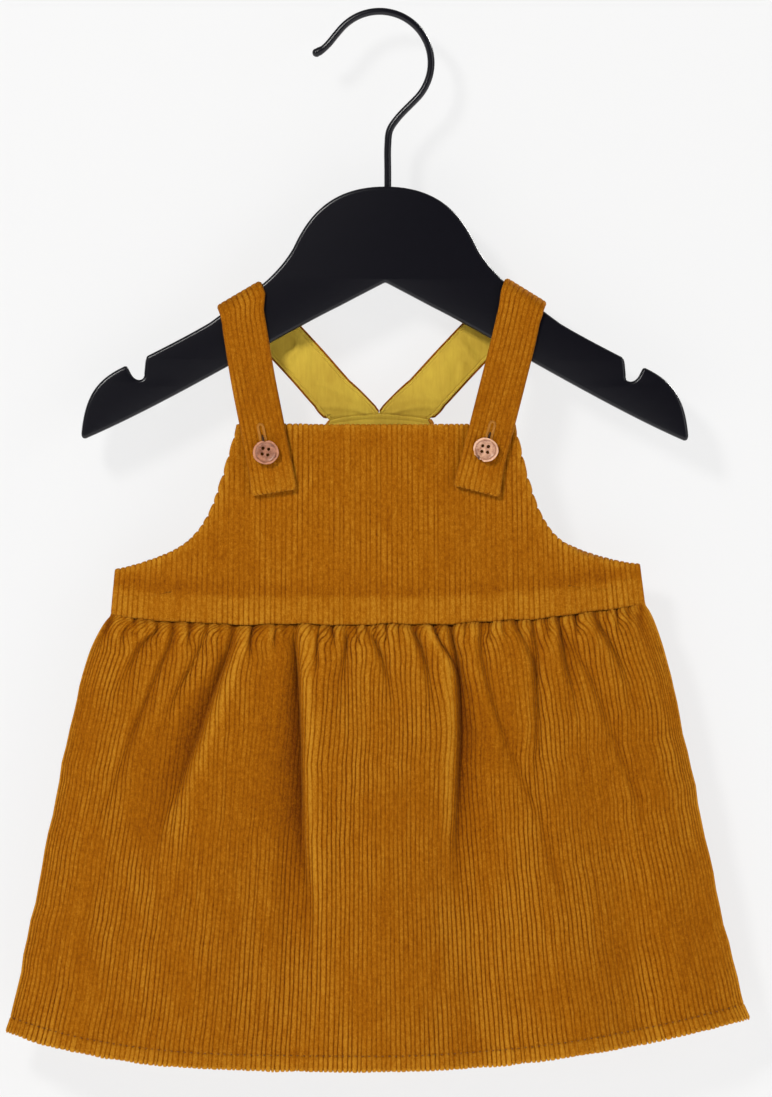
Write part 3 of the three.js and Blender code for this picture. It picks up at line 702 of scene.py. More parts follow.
skirt = {
    "wales": 157,
    "pile": 0.55,
    "topRows": (0, 0.25, 0.7, 1.4, 2.3, 3.4, 4.8, 6.5, 8.5, 11, 14, 17.5, 21.5, 26, 31, 37, 43.5, 50.5, 58),
    "middleRows": 15,
    "hemRows": (12, 10, 9.0, 8.2, 7.7, 7.3, 6.9, 6.5, 5.8, 4.4, 3.0, 1.9, 1.1, 0.5, 0.15, 0),
    "stitchLine": 7.1,
    "puff": {"height": 2.6, "rise": 1.3, "fade": 24},
    "pullIn": 2.8,
    "sideRoll": 0.95,  # how much closer the ribs come where the cloth rolls round to the side seam
    "sideReach": 5,
    "tuck": 1.0,  # the top edge goes up behind the bodice
    "edge": 0.9,
    "pileOpen": 0.44,
    "pileSeeds": {"front": 5.0, "back": 13.0},
    "hemTurned": {"thicker": 0.25, "behind": 0.9, "stitchDent": 0.28},
    "napshade": {"plain": -0.02, "hem": 0.11, "rightSideHighlight": 0.1, "seam": 0.06, "edges": 0.22},
}

# Each crease has its depth, the widths of its left and right banks, where it starts to fade and where it is
# gone. Then comes its course, as millimetres below the seam and from the middle.
frontCreases = (
    (1.8, 2.0, 2.0, 4, 14, (0, -127), (14, -134)),
    (1.8, 1.8, 2.2, 3, 12, (0, -116), (8, -123)),
    (3.4, 2.4, 3.2, 8, 46, (0, -105), (5, -106), (11, -113), (40, -128)),
    (2.3, 2.0, 3.2, 40, 130, (0, -98), (9, -99), (28, -107), (58, -119), (120, -140)),
    (1.8, 1.6, 1.6, 3, 10, (0, -90.7), (8, -91.5)),
    (2.5, 2.4, 2.8, 20, 66, (0, -83), (7, -83.2), (18, -88), (36, -98), (60, -107)),
    (6.4, 11, 3.0, 38, 132, (0, -67.7), (3, -68.6), (20, -75), (50, -86), (84, -98), (103, -106),
     (150, -122)),
    (2.2, 1.6, 1.6, 4, 14, (0, -60), (9, -61.5)),
    (1.8, 1.5, 1.5, 3, 11, (0, -49.4), (8, -50)),
    (7.4, 10.5, 2.6, 60, 178, (0, -41), (7, -40.6), (25, -39.4), (54, -38.0), (95, -37.4), (130, -34),
     (160, -32)),
    (2.6, 1.7, 1.9, 6, 20, (0, -28.3), (14, -29.2)),
    (1.8, 1.4, 1.4, 2, 9, (0, -22), (7, -22)),
    (3.4, 2.2, 2.4, 7, 30, (0, -16.5), (6, -14.9), (16, -15.5), (40, -18)),
    (1.9, 6, 5, 26, 60, (8, -17), (28, -18), (50, -20)),
    (1.8, 1.4, 1.6, 2, 9, (0, -10.6), (6, -10)),
    (3.2, 2.0, 3.2, 10, 44, (0, -4.5), (7, -2.3), (15, 1.7), (24, 4.2), (40, 7)),
    (1.3, 1.6, 1.6, 2, 7, (0, 3.5), (5, 4)),
    (3.4, 2.4, 2.6, 12, 50, (0, 14.9), (8, 20.0), (16, 22.6), (30, 25.0)),
    (3.1, 2.0, 2.4, 6, 24, (0, 25.4), (6, 28.4), (12, 31.5), (24, 36)),
    (7.8, 2.8, 9.0, 50, 146, (0, 33.8), (9, 36.4), (17, 38.2), (32, 39.6), (52, 40.0), (80, 38.8),
     (108, 37.4), (130, 38.2), (160, 42)),
    (2.2, 2.0, 3.4, 60, 170, (0, 49.4), (14, 49.2), (32, 53), (62, 62.4), (94, 76.3), (130, 87), (160, 94)),
    (2.0, 1.5, 1.5, 2, 8, (0, 53.6), (6, 53.2)),
    (1.3, 1.5, 1.5, 2, 7, (0, 59.5), (5, 60)),
    (2.5, 2.0, 2.2, 16, 40, (0, 65.6), (10, 70.2), (20, 74.4), (34, 76.5)),
    (2.9, 2.3, 2.3, 50, 84, (0, 74.9), (14, 75.4), (32, 76.2), (62, 76.7), (70, 74.6), (78, 73.4)),
    (1.5, 1.5, 1.5, 2, 8, (0, 81), (6, 81)),
    (3.9, 2.0, 5.0, 14, 50, (0, 86.9), (9, 87.8), (22, 89.8), (40, 94)),
    (1.8, 2.1, 3.2, 60, 140, (6, 91), (15, 93.1), (27, 100.3), (60, 112.3), (100, 126), (130, 137)),
    (1.8, 1.6, 1.6, 2, 9, (0, 94.5), (6, 95)),
    (3.4, 2.2, 3.4, 10, 52, (0, 105.4), (8, 106.3), (14, 110.4), (26, 116.2), (48, 124)),
    (1.5, 1.6, 1.6, 2, 9, (0, 114), (6, 115)),
    (1.4, 2.0, 2.0, 90, 180, (0, 120), (10, 127), (22, 131.5), (52, 139), (110, 152), (160, 163)),
    (1.1, 1.7, 1.7, 100, 170, (20, 135.5), (60, 144), (110, 155.5), (150, 164.5)),
    (0.9, 3.0, 3.0, 100, 170, (70, -23), (110, -21), (150, -20)),
    (1.1, 4.0, 4.0, 150, 206, (100, -46), (150, -44), (190, -44)),
    (1.0, 3.2, 3.2, 150, 200, (120, -132), (150, -139), (185, -144)),
)
backCreases = (
    (1.8, 2.0, 2.0, 4, 16, (0, -124), (14, -131)),
    (1.6, 2.2, 2.6, 60, 130, (0, -112), (10, -117), (40, -128), (110, -146)),
    (4.1, 6, 3.0, 50, 130, (0, -98), (8, -99), (40, -112), (110, -134)),
    (2.0, 1.6, 1.6, 4, 14, (0, -88), (12, -90)),
    (1.8, 2.4, 2.6, 30, 76, (0, -78), (10, -80), (36, -88), (70, -96)),
    (1.8, 1.5, 1.5, 2, 10, (0, -68), (8, -68.5)),
    (6.5, 3.0, 9, 80, 175, (0, -58), (10, -60), (50, -68), (110, -78), (170, -86)),
    (2.2, 1.7, 1.7, 4, 18, (0, -48), (12, -46)),
    (1.8, 1.4, 1.4, 2, 10, (0, -38), (8, -37)),
    (2.8, 3.0, 3.4, 30, 90, (0, -27), (12, -28), (50, -29), (90, -30)),
    (2.0, 1.5, 1.5, 2, 12, (0, -15), (8, -14.6)),
    (1.8, 1.5, 1.5, 3, 13, (0, -6), (10, -5)),
    (6.8, 8.5, 3.0, 80, 170, (0, 4), (12, 4.6), (60, 6), (120, 7), (170, 8)),
    (2.5, 2.0, 2.2, 12, 44, (0, 15), (14, 17), (40, 22)),
    (1.8, 1.4, 1.4, 2, 10, (0, 26), (8, 26.6)),
    (2.2, 1.6, 1.6, 4, 16, (0, 36), (10, 36)),
    (5.4, 3.0, 7.5, 70, 160, (0, 47), (12, 48), (60, 54), (120, 60), (170, 64)),
    (1.8, 1.5, 1.5, 3, 12, (0, 59), (10, 60)),
    (3.2, 2.2, 2.6, 20, 62, (0, 72), (14, 74), (50, 82)),
    (2.0, 1.6, 1.6, 3, 14, (0, 84), (10, 86)),
    (4.1, 3.0, 6.5, 60, 140, (0, 99), (10, 101), (60, 120), (120, 138)),
    (1.5, 2.2, 2.4, 80, 150, (0, 110), (16, 116), (60, 131), (120, 148)),
    (1.8, 1.8, 1.8, 4, 16, (0, 121), (12, 128)),
    (1.0, 3.6, 3.6, 150, 205, (90, 26), (150, 32), (190, 34)),
    (1.0, 3.2, 3.2, 120, 190, (80, -12), (140, -10), (180, -10)),
)
# Patches where the cloth is made paler with open grooves or darker with closed ones: below the seam, from the
# middle, half sizes, change.
layZones = {
    "front": (
        (50, 4, 75, 32, 0.34),
        (45, -80, 60, 12, 0.30),
        (60, -55, 52, 9, -0.42),
        (62, 60, 50, 13, -0.42),
        (46, 97, 48, 19, -0.22),
        (70, 142, 80, 10, 0.25),
        (120, -122, 60, 24, -0.22),
        (150, -30, 30, 10, 0.30),
        (175, -95, 26, 20, 0.20),
        (62, -83, 32, 8, -0.35),
        (140, -142, 60, 16, -0.25),
        (60, 145, 26, 8, 0.30),
        (208, 145, 14, 30, 0.30),
        (207, -148, 12, 26, 0.22),
        (165, 40, 60, 11, 0.65),
        (40, 40, 45, 7, 0.25),
        (90, 74, 95, 9, 0.5),
        (175, 57, 50, 10, 0.45),
        (35, 92, 30, 10, 0.45),
        (145, 92, 48, 10, 0.4),
        (28, 109, 26, 9, 0.35),
        (165, 109, 45, 10, 0.35),
        (25, 126, 24, 9, 0.45),
        (105, 152, 30, 10, 0.3),
        (168, -46, 60, 9, 0.5),
        (165, -64, 60, 10, 0.4),
        (95, -81, 45, 9, -0.45),
        (100, 5, 45, 12, -0.45),
        (128, -116, 26, 9, 0.5),
        (195, -116, 22, 9, -0.25),
        (155, -133, 35, 8, 0.35),
        (168, -98, 36, 9, -0.3),
        (62, -12, 40, 8, 0.2),
        (190, 22, 35, 9, 0.4),
        (185, -152, 22, 12, -0.25),
    ),
    "back": (
        (50, -30, 70, 22, 0.32),
        (60, 28, 60, 12, -0.36),
        (50, 84, 70, 18, 0.28),
        (70, -86, 60, 16, -0.36),
        (150, -110, 60, 30, 0.15),
        (150, 20, 50, 40, -0.2),
    ),
}
# Soft swells that grow towards the hem: place there, height outwards and half width.
swells = {
    "front": ((-150, 3.0, 15), (-97, 4.6, 22), (-48, -3.0, 15), (2, 5.0, 26), (49, -4.4, 14), (93, 4.4, 20),
              (128, -2.2, 11), (153, 2.6, 12)),
    "back": ((-136, 3.6, 18), (-92, -3.4, 14), (-45, 4.8, 24), (6, -3.8, 15), (56, 4.2, 24), (104, -2.8, 13),
             (142, 3.2, 15)),
}


# Short pleats at the seam are cut narrower and deeper than long creases, and get more painted highlight on
# their crests and more painted shade in their troughs.
creaseKinds = {
    "short": {"width": 0.75, "depth": 1.4, "reach": 1.3, "atSeam": 0.75, "crestHighlight": 0.10, "shade": 0.09},
    "long": {"width": 1, "depth": 1, "reach": 1, "atSeam": 0.4, "crestHighlight": 0.038, "shade": 0.045},
}
creaseForm = {
    "shortEnd": 25,  # a crease that is gone above this is a short pleat
    "deep": 5,  # one deeper than this takes longer to grow from the seam
    "broad": 7,  # a bank wider than this opens slowly, and its trough is painted darker as pressed, flatter pile
    "opening": (6, 56),
    "hang": 0.36,  # how far the steep bank leans over, as a share of the depth
    # how much darker a broad crease's trough is painted, by its depth: painted shade as pressed pile
    "pressed": 0.11,
}


# How deep one crease is at each place, how far its steep bank leans over it, its painted tone (a painted
# highlight on the steep bank's crest and painted shade in the trough), how much cloth is folded away inside,
# and how much its trough is painted darker as flattened pile.
def creaseAt(crease, x, below):
    depth, left, right, fading, gone, *course = crease
    short, broad = gone < creaseForm["shortEnd"], max(left, right) > creaseForm["broad"]
    kind = creaseKinds["short" if short else "long"]
    left, right, deepest = left * kind["width"], right * kind["width"], depth * kind["depth"]
    steepWay, steep = (1 if right < left else -1), min(left, right)
    fine = np.linspace(0, 214, 429)
    path = smoothed(np.interp(fine, *zip(*course)), np.hanning(21))
    start = course[0][0]
    grown = 6 if short or deepest < creaseForm["deep"] else 30
    fromSeam = mix(kind["atSeam"], 1, ease(below, 0, grown))
    alive = 1 - ease(below, fading * kind["reach"], gone * kind["reach"])
    alive = alive * (ease(below, start - 2, start + 16) if start > 1 else fromSeam)
    hang = creaseForm["hang"] * deepest * alive**2 * (left != right)
    offset = x - np.interp(below, fine, path) - 0.8 * steepWay * hang
    opened = mix(0.3, 1, ease(below, *creaseForm["opening"]))
    left, right = (bank * (opened if bank > creaseForm["broad"] else 1) for bank in (left, right))
    width = np.where(offset < 0, left, right) * (1 + 0.25 * ease(below, 60, 200))
    depth = deepest * alive * np.exp(-np.abs(offset / width) ** 1.7)
    onSteep = steepWay * offset / steep
    shift = -steepWay * hang * bell(onSteep - 1.4, 1.8)
    ridgeHighlight = alive * deepest * bell(onSteep - 2.0, 0.7)
    # Painted highlight along the steep bank's crest, and painted shade deeper in the trough.
    tone = kind["crestHighlight"] * ridgeHighlight - kind["shade"] * depth * math.sqrt(4 / steep)
    spread = 0.6 * steep
    folded = 1.5 * deepest * alive * (1 - ease(below, 20, 150)) / (spread * math.sqrt(math.tau))
    folded = folded * np.exp(-0.5 * ((steepWay * offset - 0.5 * steep) / spread) ** 2)
    return depth, shift, tone, folded, creaseForm["pressed"] * depth * broad


def skirtRelief(layer, across, x, down, below):
    relief, shift, tone, folded, pressedShade = (np.zeros_like(x) for _ in range(5))
    half, hemHalf = skirtHalf(across, down), skirtHalf(across, 1.0)
    for place, height, width in swells[layer]:
        relief += height * ease(down, 0.05, 0.9) * bell(x - place * half / hemHalf, width)
    for crease in frontCreases if layer == "front" else backCreases:
        depth, lateral, change, hidden, flat = creaseAt(crease, x, below)
        relief -= depth
        shift += lateral
        tone += change
        folded += hidden
        pressedShade += flat
    puff = skirt["puff"]
    relief += puff["height"] * (1 - np.exp(-below / puff["rise"])) * np.exp(-((below / puff["fade"]) ** 1.5))
    # Fine pleats between the gathers, with sharp valleys, die out a few millimetres below the seam; their
    # valleys are painted darker and their tops paler, as painted shade and highlight.
    small = np.sin(x / 1.25 + 3 * np.sin(x / 17) + 2 * np.sin(x / 6.1))
    small = (small - 0.8 * np.exp(-3 * (small + 1))) * np.exp(-below / 5.5) * ease(below, 0, 1.2)
    relief += 0.9 * small
    tone += 0.24 * small
    relief += 0.25 * np.sin(x / 4.3 + 2 * np.sin(x / 31) + below / 60) * ease(below, 15, 60)
    size = depths[layer]  # inward relief keeps clear of the other panel
    room = 0.86 * mix(size["waist"], size["hem"], down) * (1 - np.abs(across) ** 3) + 0.2
    relief = np.where(relief < 0, -room * np.tanh(-relief / room), relief)
    relief -= skirt["pullIn"] * np.exp(-below / 0.8)
    margin = 1 - np.abs(across) ** 12
    return relief * margin, shift * margin, tone, folded, pressedShade


def skirtSurface(layer, across, down, below):
    half = skirtHalf(across, down)
    x = across * half
    seam = seamHeight(across) - garment["gap"] / 2
    z = mix(seam, hemHeight(across), down) + skirt["tuck"] * bell(below, 0.4)
    size = depths[layer]
    bow = mix(size["bow"], size["hemBow"], down)
    relief, shift, tone, folded, pressedShade = skirtRelief(layer, across, x, down, below)
    depth = mix(size["waist"], size["hem"], down) * (1 - np.abs(across) ** bow)
    depth += garment["gap"] / 2 + garment["cloth"] / 2 + relief
    return np.stack([x + shift, size["facing"] * depth, z], axis=2), tone, folded, pressedShade


def skirtLevels():
    length = garment["waist"] - garment["hem"]
    top, bottom = skirt["topRows"], skirt["hemRows"]
    steps = skirt["middleRows"]
    between = [mix(top[-1], length - bottom[0], (k + 1) / (steps + 1)) for k in range(steps)]
    return np.array([*top, *between, *[length - value for value in bottom]]), length


def buildSkirt(layer):
    levels, length = skirtLevels()
    columns, ribs = ribColumns(skirt["wales"])
    fine = np.linspace(-1, 1, 3001)[None, :] * np.ones((len(levels), 1))
    below = levels[:, None] * np.ones_like(fine)
    down = below / length
    # The ribs draw together in each crease, by the cloth's own width and by what is folded away inside.
    draft, _, folded, _ = skirtSurface(layer, fine, down, below)
    steps = np.linalg.norm(np.diff(draft, axis=1), axis=2)
    steps += folded[:, 1:] * np.diff(draft[..., 0], axis=1).clip(0)
    steps /= [smoothed(row, bell(np.linspace(-2.4, 2.4, 901), 1)) for row in steps]
    fromSide = np.minimum(draft[..., 0] - draft[:, :1, 0], draft[:, -1:, 0] - draft[..., 0])[:, 1:]
    steps *= 1 + skirt["sideRoll"] * bell(fromSide, skirt["sideReach"])
    lengths = np.concatenate([np.zeros((len(levels), 1)), np.cumsum(steps, axis=1)], axis=1)
    shares = unevenRibs(columns, levels[:, None]) / skirt["wales"]
    across = np.array([np.interp(share * row[-1], row, fine[0]) for share, row in zip(shares, lengths)])
    below = levels[:, None] * np.ones_like(across)
    middle, creaseShading, _, pressedShade = skirtSurface(layer, across, below / length, below)
    fromHem = length - below
    facing = depths[layer]["facing"]
    outward = (0, facing, 0)
    x = middle[..., 0]
    turned, fromStitches = skirt["hemTurned"], fromHem - skirt["stitchLine"]
    half = np.full(x.shape, garment["cloth"] / 2)
    half += turned["thicker"] * (1 - ease(fromHem, 6.2, 7.2))
    half -= turned["stitchDent"] * bell(fromStitches, 0.55)
    inside = garment["cloth"] / 2 + turned["behind"] * (1 - ease(fromHem, 8.0, 8.6))
    fromSide = np.minimum(x - x[:, :1], x[:, -1:] - x)
    edgeDistance = np.minimum(np.minimum(fromHem * 0.75, below), fromSide)
    heights = ribHeights(skirt["pile"], ribs, columns, 0.12, 1.3) * np.ones_like(x)
    heights *= 0.3 + 0.7 * ease(below, 0, 4)
    # Slopes that face one side are painted paler with open grooves, and those that face the other darker with
    # closed ones: painted light and shade from one side.
    outwards = facing * middle[..., 1]
    slope = np.gradient(outwards, axis=1) / np.maximum(np.gradient(x, axis=1), 0.05)
    slope = np.array([smoothed(row, np.hanning(31)) for row in slope])
    layshade = pileLay(x, middle[..., 2], skirt["pileSeeds"][layer], skirt["pileOpen"])
    # Broad creases' troughs are painted darker through it, as painted shade.
    layshade += np.clip(-0.7 * facing * slope, -0.4, 0.4) - pressedShade
    for down, out, long, wide, change in layZones[layer]:
        layshade += change * np.exp(-(((below - down) / long) ** 2) - ((x - out) / wide) ** 2)
    layshade = np.clip(layshade, 0, 1.1)
    spacing = len(garment["ribPlaces"]) * np.linalg.norm(np.gradient(middle, axis=1), axis=2)
    heights *= (0.4 + 0.6 * layshade) * np.clip(spacing / 2.0, 0.15, 1)
    heights *= 1 - 0.5 * bell(fromStitches, 0.5)
    uv = np.stack([np.broadcast_to(columns, x.shape), below], axis=2)
    tones = skirt["napshade"]
    napshade = tones["hem"] * np.exp(-((fromHem / 7.0) ** 4)) + tones["plain"]
    # A painted highlight along the right side, where the cloth rounds towards the light.
    napshade += tones["rightSideHighlight"] * (x > 0) * bell(fromSide, skirt["sideReach"])
    # Paler just below the seam, plus the creases' painted shade and highlight.
    napshade += tones["seam"] * bell(below, 6) + creaseShading
    # A painted highlight along the hem and the sides, as a pale rim.
    napshade += tones["edges"] * bell(np.minimum(fromHem, fromSide), 0.9)
    wall, edge, marks = (half, inside), (edgeDistance, skirt["edge"]), {"napshade": napshade, "layshade": layshade}
    piece = ribbedSheet(layer + "Skirt", middle, outward, wall, edge, heights, uv, marks)
    return finishPiece(piece, "corduroy", layer + "_skirt"), middle, levels


frontSkirt, frontMiddle, skirtRows = buildSkirt("front")
backSkirt, backMiddle, skirtRows = buildSkirt("back")
print("skirt ready")


strap = {
    "width": 21.0,
    "endWidths": (21.6, 23.0),  # of the left and the right strap at the buttoned end
    "neckWidth": 26.6,
    "wales": 9,
    "pile": 0.3,
    "middle": 1.95,  # of the corduroy, from the strap's inside face
    "curl": 1.0,  # radius on which the long edges turn back
    "curlAngle": 112,
    "foldWidths": (24.2, 22.9),  # where each goes slantwise over the arm
    "foldEase": 4.5,  # degrees by which it lies less steeply than the arm
    "frontLean": 11,
    "liningHalf": 9.8,
    "corner": 1.7,  # radius at the buttoned end
    "rowStep": 1.7,
    "edge": 0.8,
    "pileOpen": 0.3,
    "pileSeed": 17.0,
    "napshade": {"end": 0.14, "curl": -0.10},
}
# The hanger's sizes come before the straps, which lie over its arms.
hanger = {
    "middle": 3.2,
    "top": -82.4,
    "tilt": 0.2,  # degrees by which it hangs out of level
    "thick": 12.0,
    "bevel": 1.6,
    "stem": 4.2,
    "bore": 4.3,
    "boreDepth": 14.0,
}
# One point of an arm's upper edge, its way down, and where the lining lies in front of the arm and behind it.
armEdge = {"x": 70.5, "z": -137.9, "slope": 36.5, "face": 6.3}
strapCourses = {
    "left": (
        ("bib", -50.1, -228.8, 9),
        ("bib", -52.6, -214, 12),
        ("bib", -56.3, -195.5, 11),
        ("air", -60.2, -176, 11),
        ("armFront", -63.2, -158, 14),
        ("armFront", -65.2, -145, 19),
        ("armTop", -65.9, 0, 0),
        ("armBack", -61.6, -142.6, 43),
        ("armBack", -50.6, -151.2, 45),
        ("air", -36.0, -166.4, 46),
        ("air", -22.6, -181.6, 38),
        ("neck", -13.0, -191.6, 5),
    ),
    "right": (
        ("bib", 46.8, -228.2, -14.5),
        ("bib", 49.9, -214, -15),
        ("bib", 54.6, -195.5, -14),
        ("air", 59.6, -176, -14),
        ("armFront", 64.6, -156, -18),
        ("armFront", 67.3, -144, -22),
        ("armTop", 69.2, 0, 0),
        ("armBack", 63.6, -142.4, -43),
        ("armBack", 52.6, -150.6, -45),
        ("air", 37.6, -165.8, -46),
        ("air", 23.4, -181.2, -38),
        ("neck", 13.2, -191.4, -5),
    ),
}


def armTopAt(x):
    side = math.copysign(1, x)
    tilt = math.radians(hanger["tilt"])
    outX, outZ = side * armEdge["x"], armEdge["z"] - hanger["top"]
    armX = hanger["middle"] + outX * math.cos(tilt) + outZ * math.sin(tilt)
    armZ = hanger["top"] - outX * math.sin(tilt) + outZ * math.cos(tilt)
    slope = armEdge["slope"] + side * hanger["tilt"]
    return slope, armZ - math.tan(math.radians(slope)) * side * (x - armX)


def onBib(x, z):
    point = np.array([float(x)])
    return -(bodiceDepth("front", point, z)[0] + garment["cloth"] + garment["rib"] + garment["gap"])


# Each section is its middle on the strap's inside face, then its lean, width and twist.
def strapSections(course):
    side = math.copysign(1, course[0][1])
    face, bevel, gap = armEdge["face"], hanger["bevel"], garment["gap"]
    sections = []
    for kind, x, z, lean in course:
        width = strap["neckWidth"] if kind == "neck" else strap["width"]
        if not sections:
            width = strap["endWidths"][int(side > 0)]
        if kind == "armTop":
            slope, armZ = armTopAt(x)
            turn = math.radians(slope)
            width = strap["foldWidths"][int(side > 0)]
            arch = (
                (-face, -3.0),
                (-face, 0.1 - bevel),
                (bevel - face, gap + 0.05),
                (0.0, gap + 0.2),
                (face - bevel, gap + 0.05),
                (face, 0.1 - bevel),
                (face, -3.0),
            )
            # In front the strap leaves the arm along its own way down, not square to the arm.
            ahead = math.radians(strap["frontLean"])
            for y, rise in arch:
                sideways, upwards = math.sin(turn) * rise, math.cos(turn) * rise
                if y < 0 and rise < 0:
                    drop = rise / math.cos(turn - ahead)
                    sideways, upwards = math.sin(ahead) * drop, math.cos(ahead) * drop
                place = (x + side * sideways, y, armZ + upwards)
                sections.append([*place, -side * (slope - strap["foldEase"]), width, 0.0])
            continue
        twist = 0.0
        if kind == "bib":
            depth = onBib(x, z)
            twist = (onBib(x + width / 2, z) - onBib(x - width / 2, z)) / width
        elif kind == "neck":
            depth = bodiceDepth("back", np.array([x]), z)[0] - gap - garment["lining"]
        else:
            depth = {"armFront": -face, "armBack": face, "air": math.nan}[kind]
        sections.append([x, depth, z, lean, width, twist])
    for i, section in enumerate(sections):
        if not math.isnan(section[1]):
            continue
        after = next(other for other in sections[i:] if not math.isnan(other[1]))
        before = sections[i - 1]
        section[1] = mix(before[1], after[1], (section[2] - before[2]) / (after[2] - before[2]))
    return np.array(sections)


# A smooth course through all sections, in rows about one step apart.
def smoothRows(sections, step):
    ends = [2 * sections[0] - sections[1], *sections, 2 * sections[-1] - sections[-2]]
    rows = []
    for before, start, end, after in zip(ends, ends[1:], ends[2:], ends[3:]):
        ways = (start - before, end - start, after - end)
        first, second, third = (np.sqrt(np.linalg.norm(way[:3])) for way in ways)
        entering = ways[0] / first - (end - before) / (first + second) + ways[1] / second
        leaving = ways[1] / second - (after - start) / (second + third) + ways[2] / third
        entering, leaving = entering * second, leaving * second
        count = max(2, round(np.linalg.norm((end - start)[:3]) / step))
        for t in np.arange(count) / count:
            curve = (2 * t**3 - 3 * t**2 + 1) * start + (t**3 - 2 * t**2 + t) * entering
            curve = curve + (3 * t**2 - 2 * t**3) * end + (t**3 - t**2) * leaving
            curve[3:] = mix(start, end, t)[3:]
            rows.append(curve)
    rows.append(sections[-1])
    return np.array(rows)


def strapFrame(side):
    rows = smoothRows(strapSections(strapCourses[side]), strap["rowStep"])
    fromStart = lengthsAlong(rows[:, :3])
    extra = np.array([0.1, 0.35, 0.8, 1.3])
    wanted = np.unique(np.concatenate([fromStart, extra, fromStart[-1] - extra]))
    rows = np.stack([np.interp(wanted, fromStart, rows[:, k]) for k in range(rows.shape[1])], axis=1)
    middle = rows[:, :3]
    lean = smoothed(np.radians(rows[:, 3]), np.hanning(9)[1:-1])
    across = np.stack([np.cos(lean), rows[:, 5], np.sin(lean)], axis=1)
    across /= np.linalg.norm(across, axis=1, keepdims=True)
    along = np.gradient(middle, axis=0)
    outward = np.cross(across, along)
    outward /= np.linalg.norm(outward, axis=1, keepdims=True)
    return middle, across, outward, rows[:, 4], wanted


def buildStrap(side):
    centre, across, outward, width, along = strapFrame(side)
    ending = np.clip(1 - along / strap["corner"], 0, 1)
    width = width - 2 * strap["corner"] * (1 - np.sqrt(1 - ending**2))
    columns, ribs = ribColumns(strap["wales"])
    curl, turn = strap["curl"], math.radians(strap["curlAngle"])
    flat = width / 2 - curl - garment["cloth"] / 2
    reach = flat + curl * turn
    place = (2 * columns / strap["wales"] - 1)[None, :] * reach[:, None]
    over = np.clip(np.abs(place) - flat[:, None], 0, None) / curl
    sideways = np.sign(place) * (np.minimum(np.abs(place), flat[:, None]) + curl * np.sin(over))
    offset = strap["middle"] - curl * (1 - np.cos(over))
    wave = 0.25 * np.sin(along / 9 + (0 if side == "left" else 2))[:, None] * (sideways / 10)
    centre, across, outward = centre[:, None], across[:, None], outward[:, None]
    middle = centre + across * sideways[..., None] + outward * (offset + wave)[..., None]
    facing = across * (np.sign(place) * np.sin(over))[..., None] + outward * np.cos(over)[..., None]
    total = along[-1]
    fromEnd = np.broadcast_to(along[:, None], place.shape)
    edgeDistance = np.minimum(np.minimum(fromEnd, total - fromEnd), 1.5 * (reach[:, None] - np.abs(place)))
    half = np.full(place.shape, garment["cloth"] / 2)
    heights = ribHeights(strap["pile"], ribs, columns, 0.1, 2.1) * np.ones_like(place)
    heights *= 1 - 0.5 * np.clip(over / turn, 0, 1)
    uv = np.stack([np.broadcast_to(columns, place.shape) + 40, fromEnd], axis=2)
    napshade = strap["napshade"]["end"] * bell(fromEnd, 9) + strap["napshade"]["curl"] * ease(over, 0.3, 1.2)
    marks = {"napshade": napshade, "layshade": pileLay(place, fromEnd, strap["pileSeed"] + place[0, 0], strap["pileOpen"])}
    wall, edge = (half, half), (edgeDistance, strap["edge"])
    piece = ribbedSheet(side + "Strap", middle, facing, wall, edge, heights, uv, marks, lean=0.0)
    return finishPiece(piece, "corduroy", side + "_strap")


# Folds of each lining: from where to where, as millimetres outwards from its middle and up from the neck,
# then how far one stands out and its half width.
liningFolds = {
    "left": (
        ((-5, 45), (-2, 41), 1.0, 1.3),
        ((-2, 41), (7, 40), 1.1, 1.5),
        ((-3, 35), (4, 30), 0.8, 1.8),
        ((3, 24), (-6, 7), 0.7, 1.4),
        ((9, 11), (-6, 0), 0.9, 1.4),
    ),
    "right": (
        ((-5, 43), (7, 41), 1.1, 1.5),
        ((3, 36), (9, 29), 0.9, 1.5),
        ((-3, 30), (7, 22), 0.8, 2.0),
        ((-6, 6), (6, 14), 0.9, 1.6),
        ((-6, 0), (9, 10), 0.8, 1.3),
    ),
}


# Columns go from the lining's edge to its middle, as shares of half its width, finer at the topstitching.
lining = {
    "columns": (1, 0.985, 0.95, 0.91, 0.88, 0.86, 0.84, 0.81, 0.75, 0.66, 0.57, 0.48, 0.38, 0.29, 0.19, 0.1,
                0),
    "stitchPlace": 0.86,
    "stitchWidth": 0.02,
    "stitchDent": 0.3,
    "armShare": 0.52,  # how far along the strap the creases over the hanger's arm have their middle
    "armReach": 26,
    "creaseDepth": 0.30,
    "bulge": 0.15,
    "foldsEnd": (43, 50),  # above the neck, where the folds give way to the arm
    "tuckedRows": (0.8, 1.8, 3.0, 4.4, 6.0),  # past the neck, behind the facing
}


def foldHeight(fold, outwards, upwards):
    (startOut, startUp), (endOut, endUp), height, width = fold
    wayOut, wayUp = endOut - startOut, endUp - startUp
    share = ((outwards - startOut) * wayOut + (upwards - startUp) * wayUp) / (wayOut**2 + wayUp**2)
    share = np.clip(share, 0, 1)
    away = np.hypot(outwards - startOut - share * wayOut, upwards - startUp - share * wayUp)
    return height * bell(away, width)


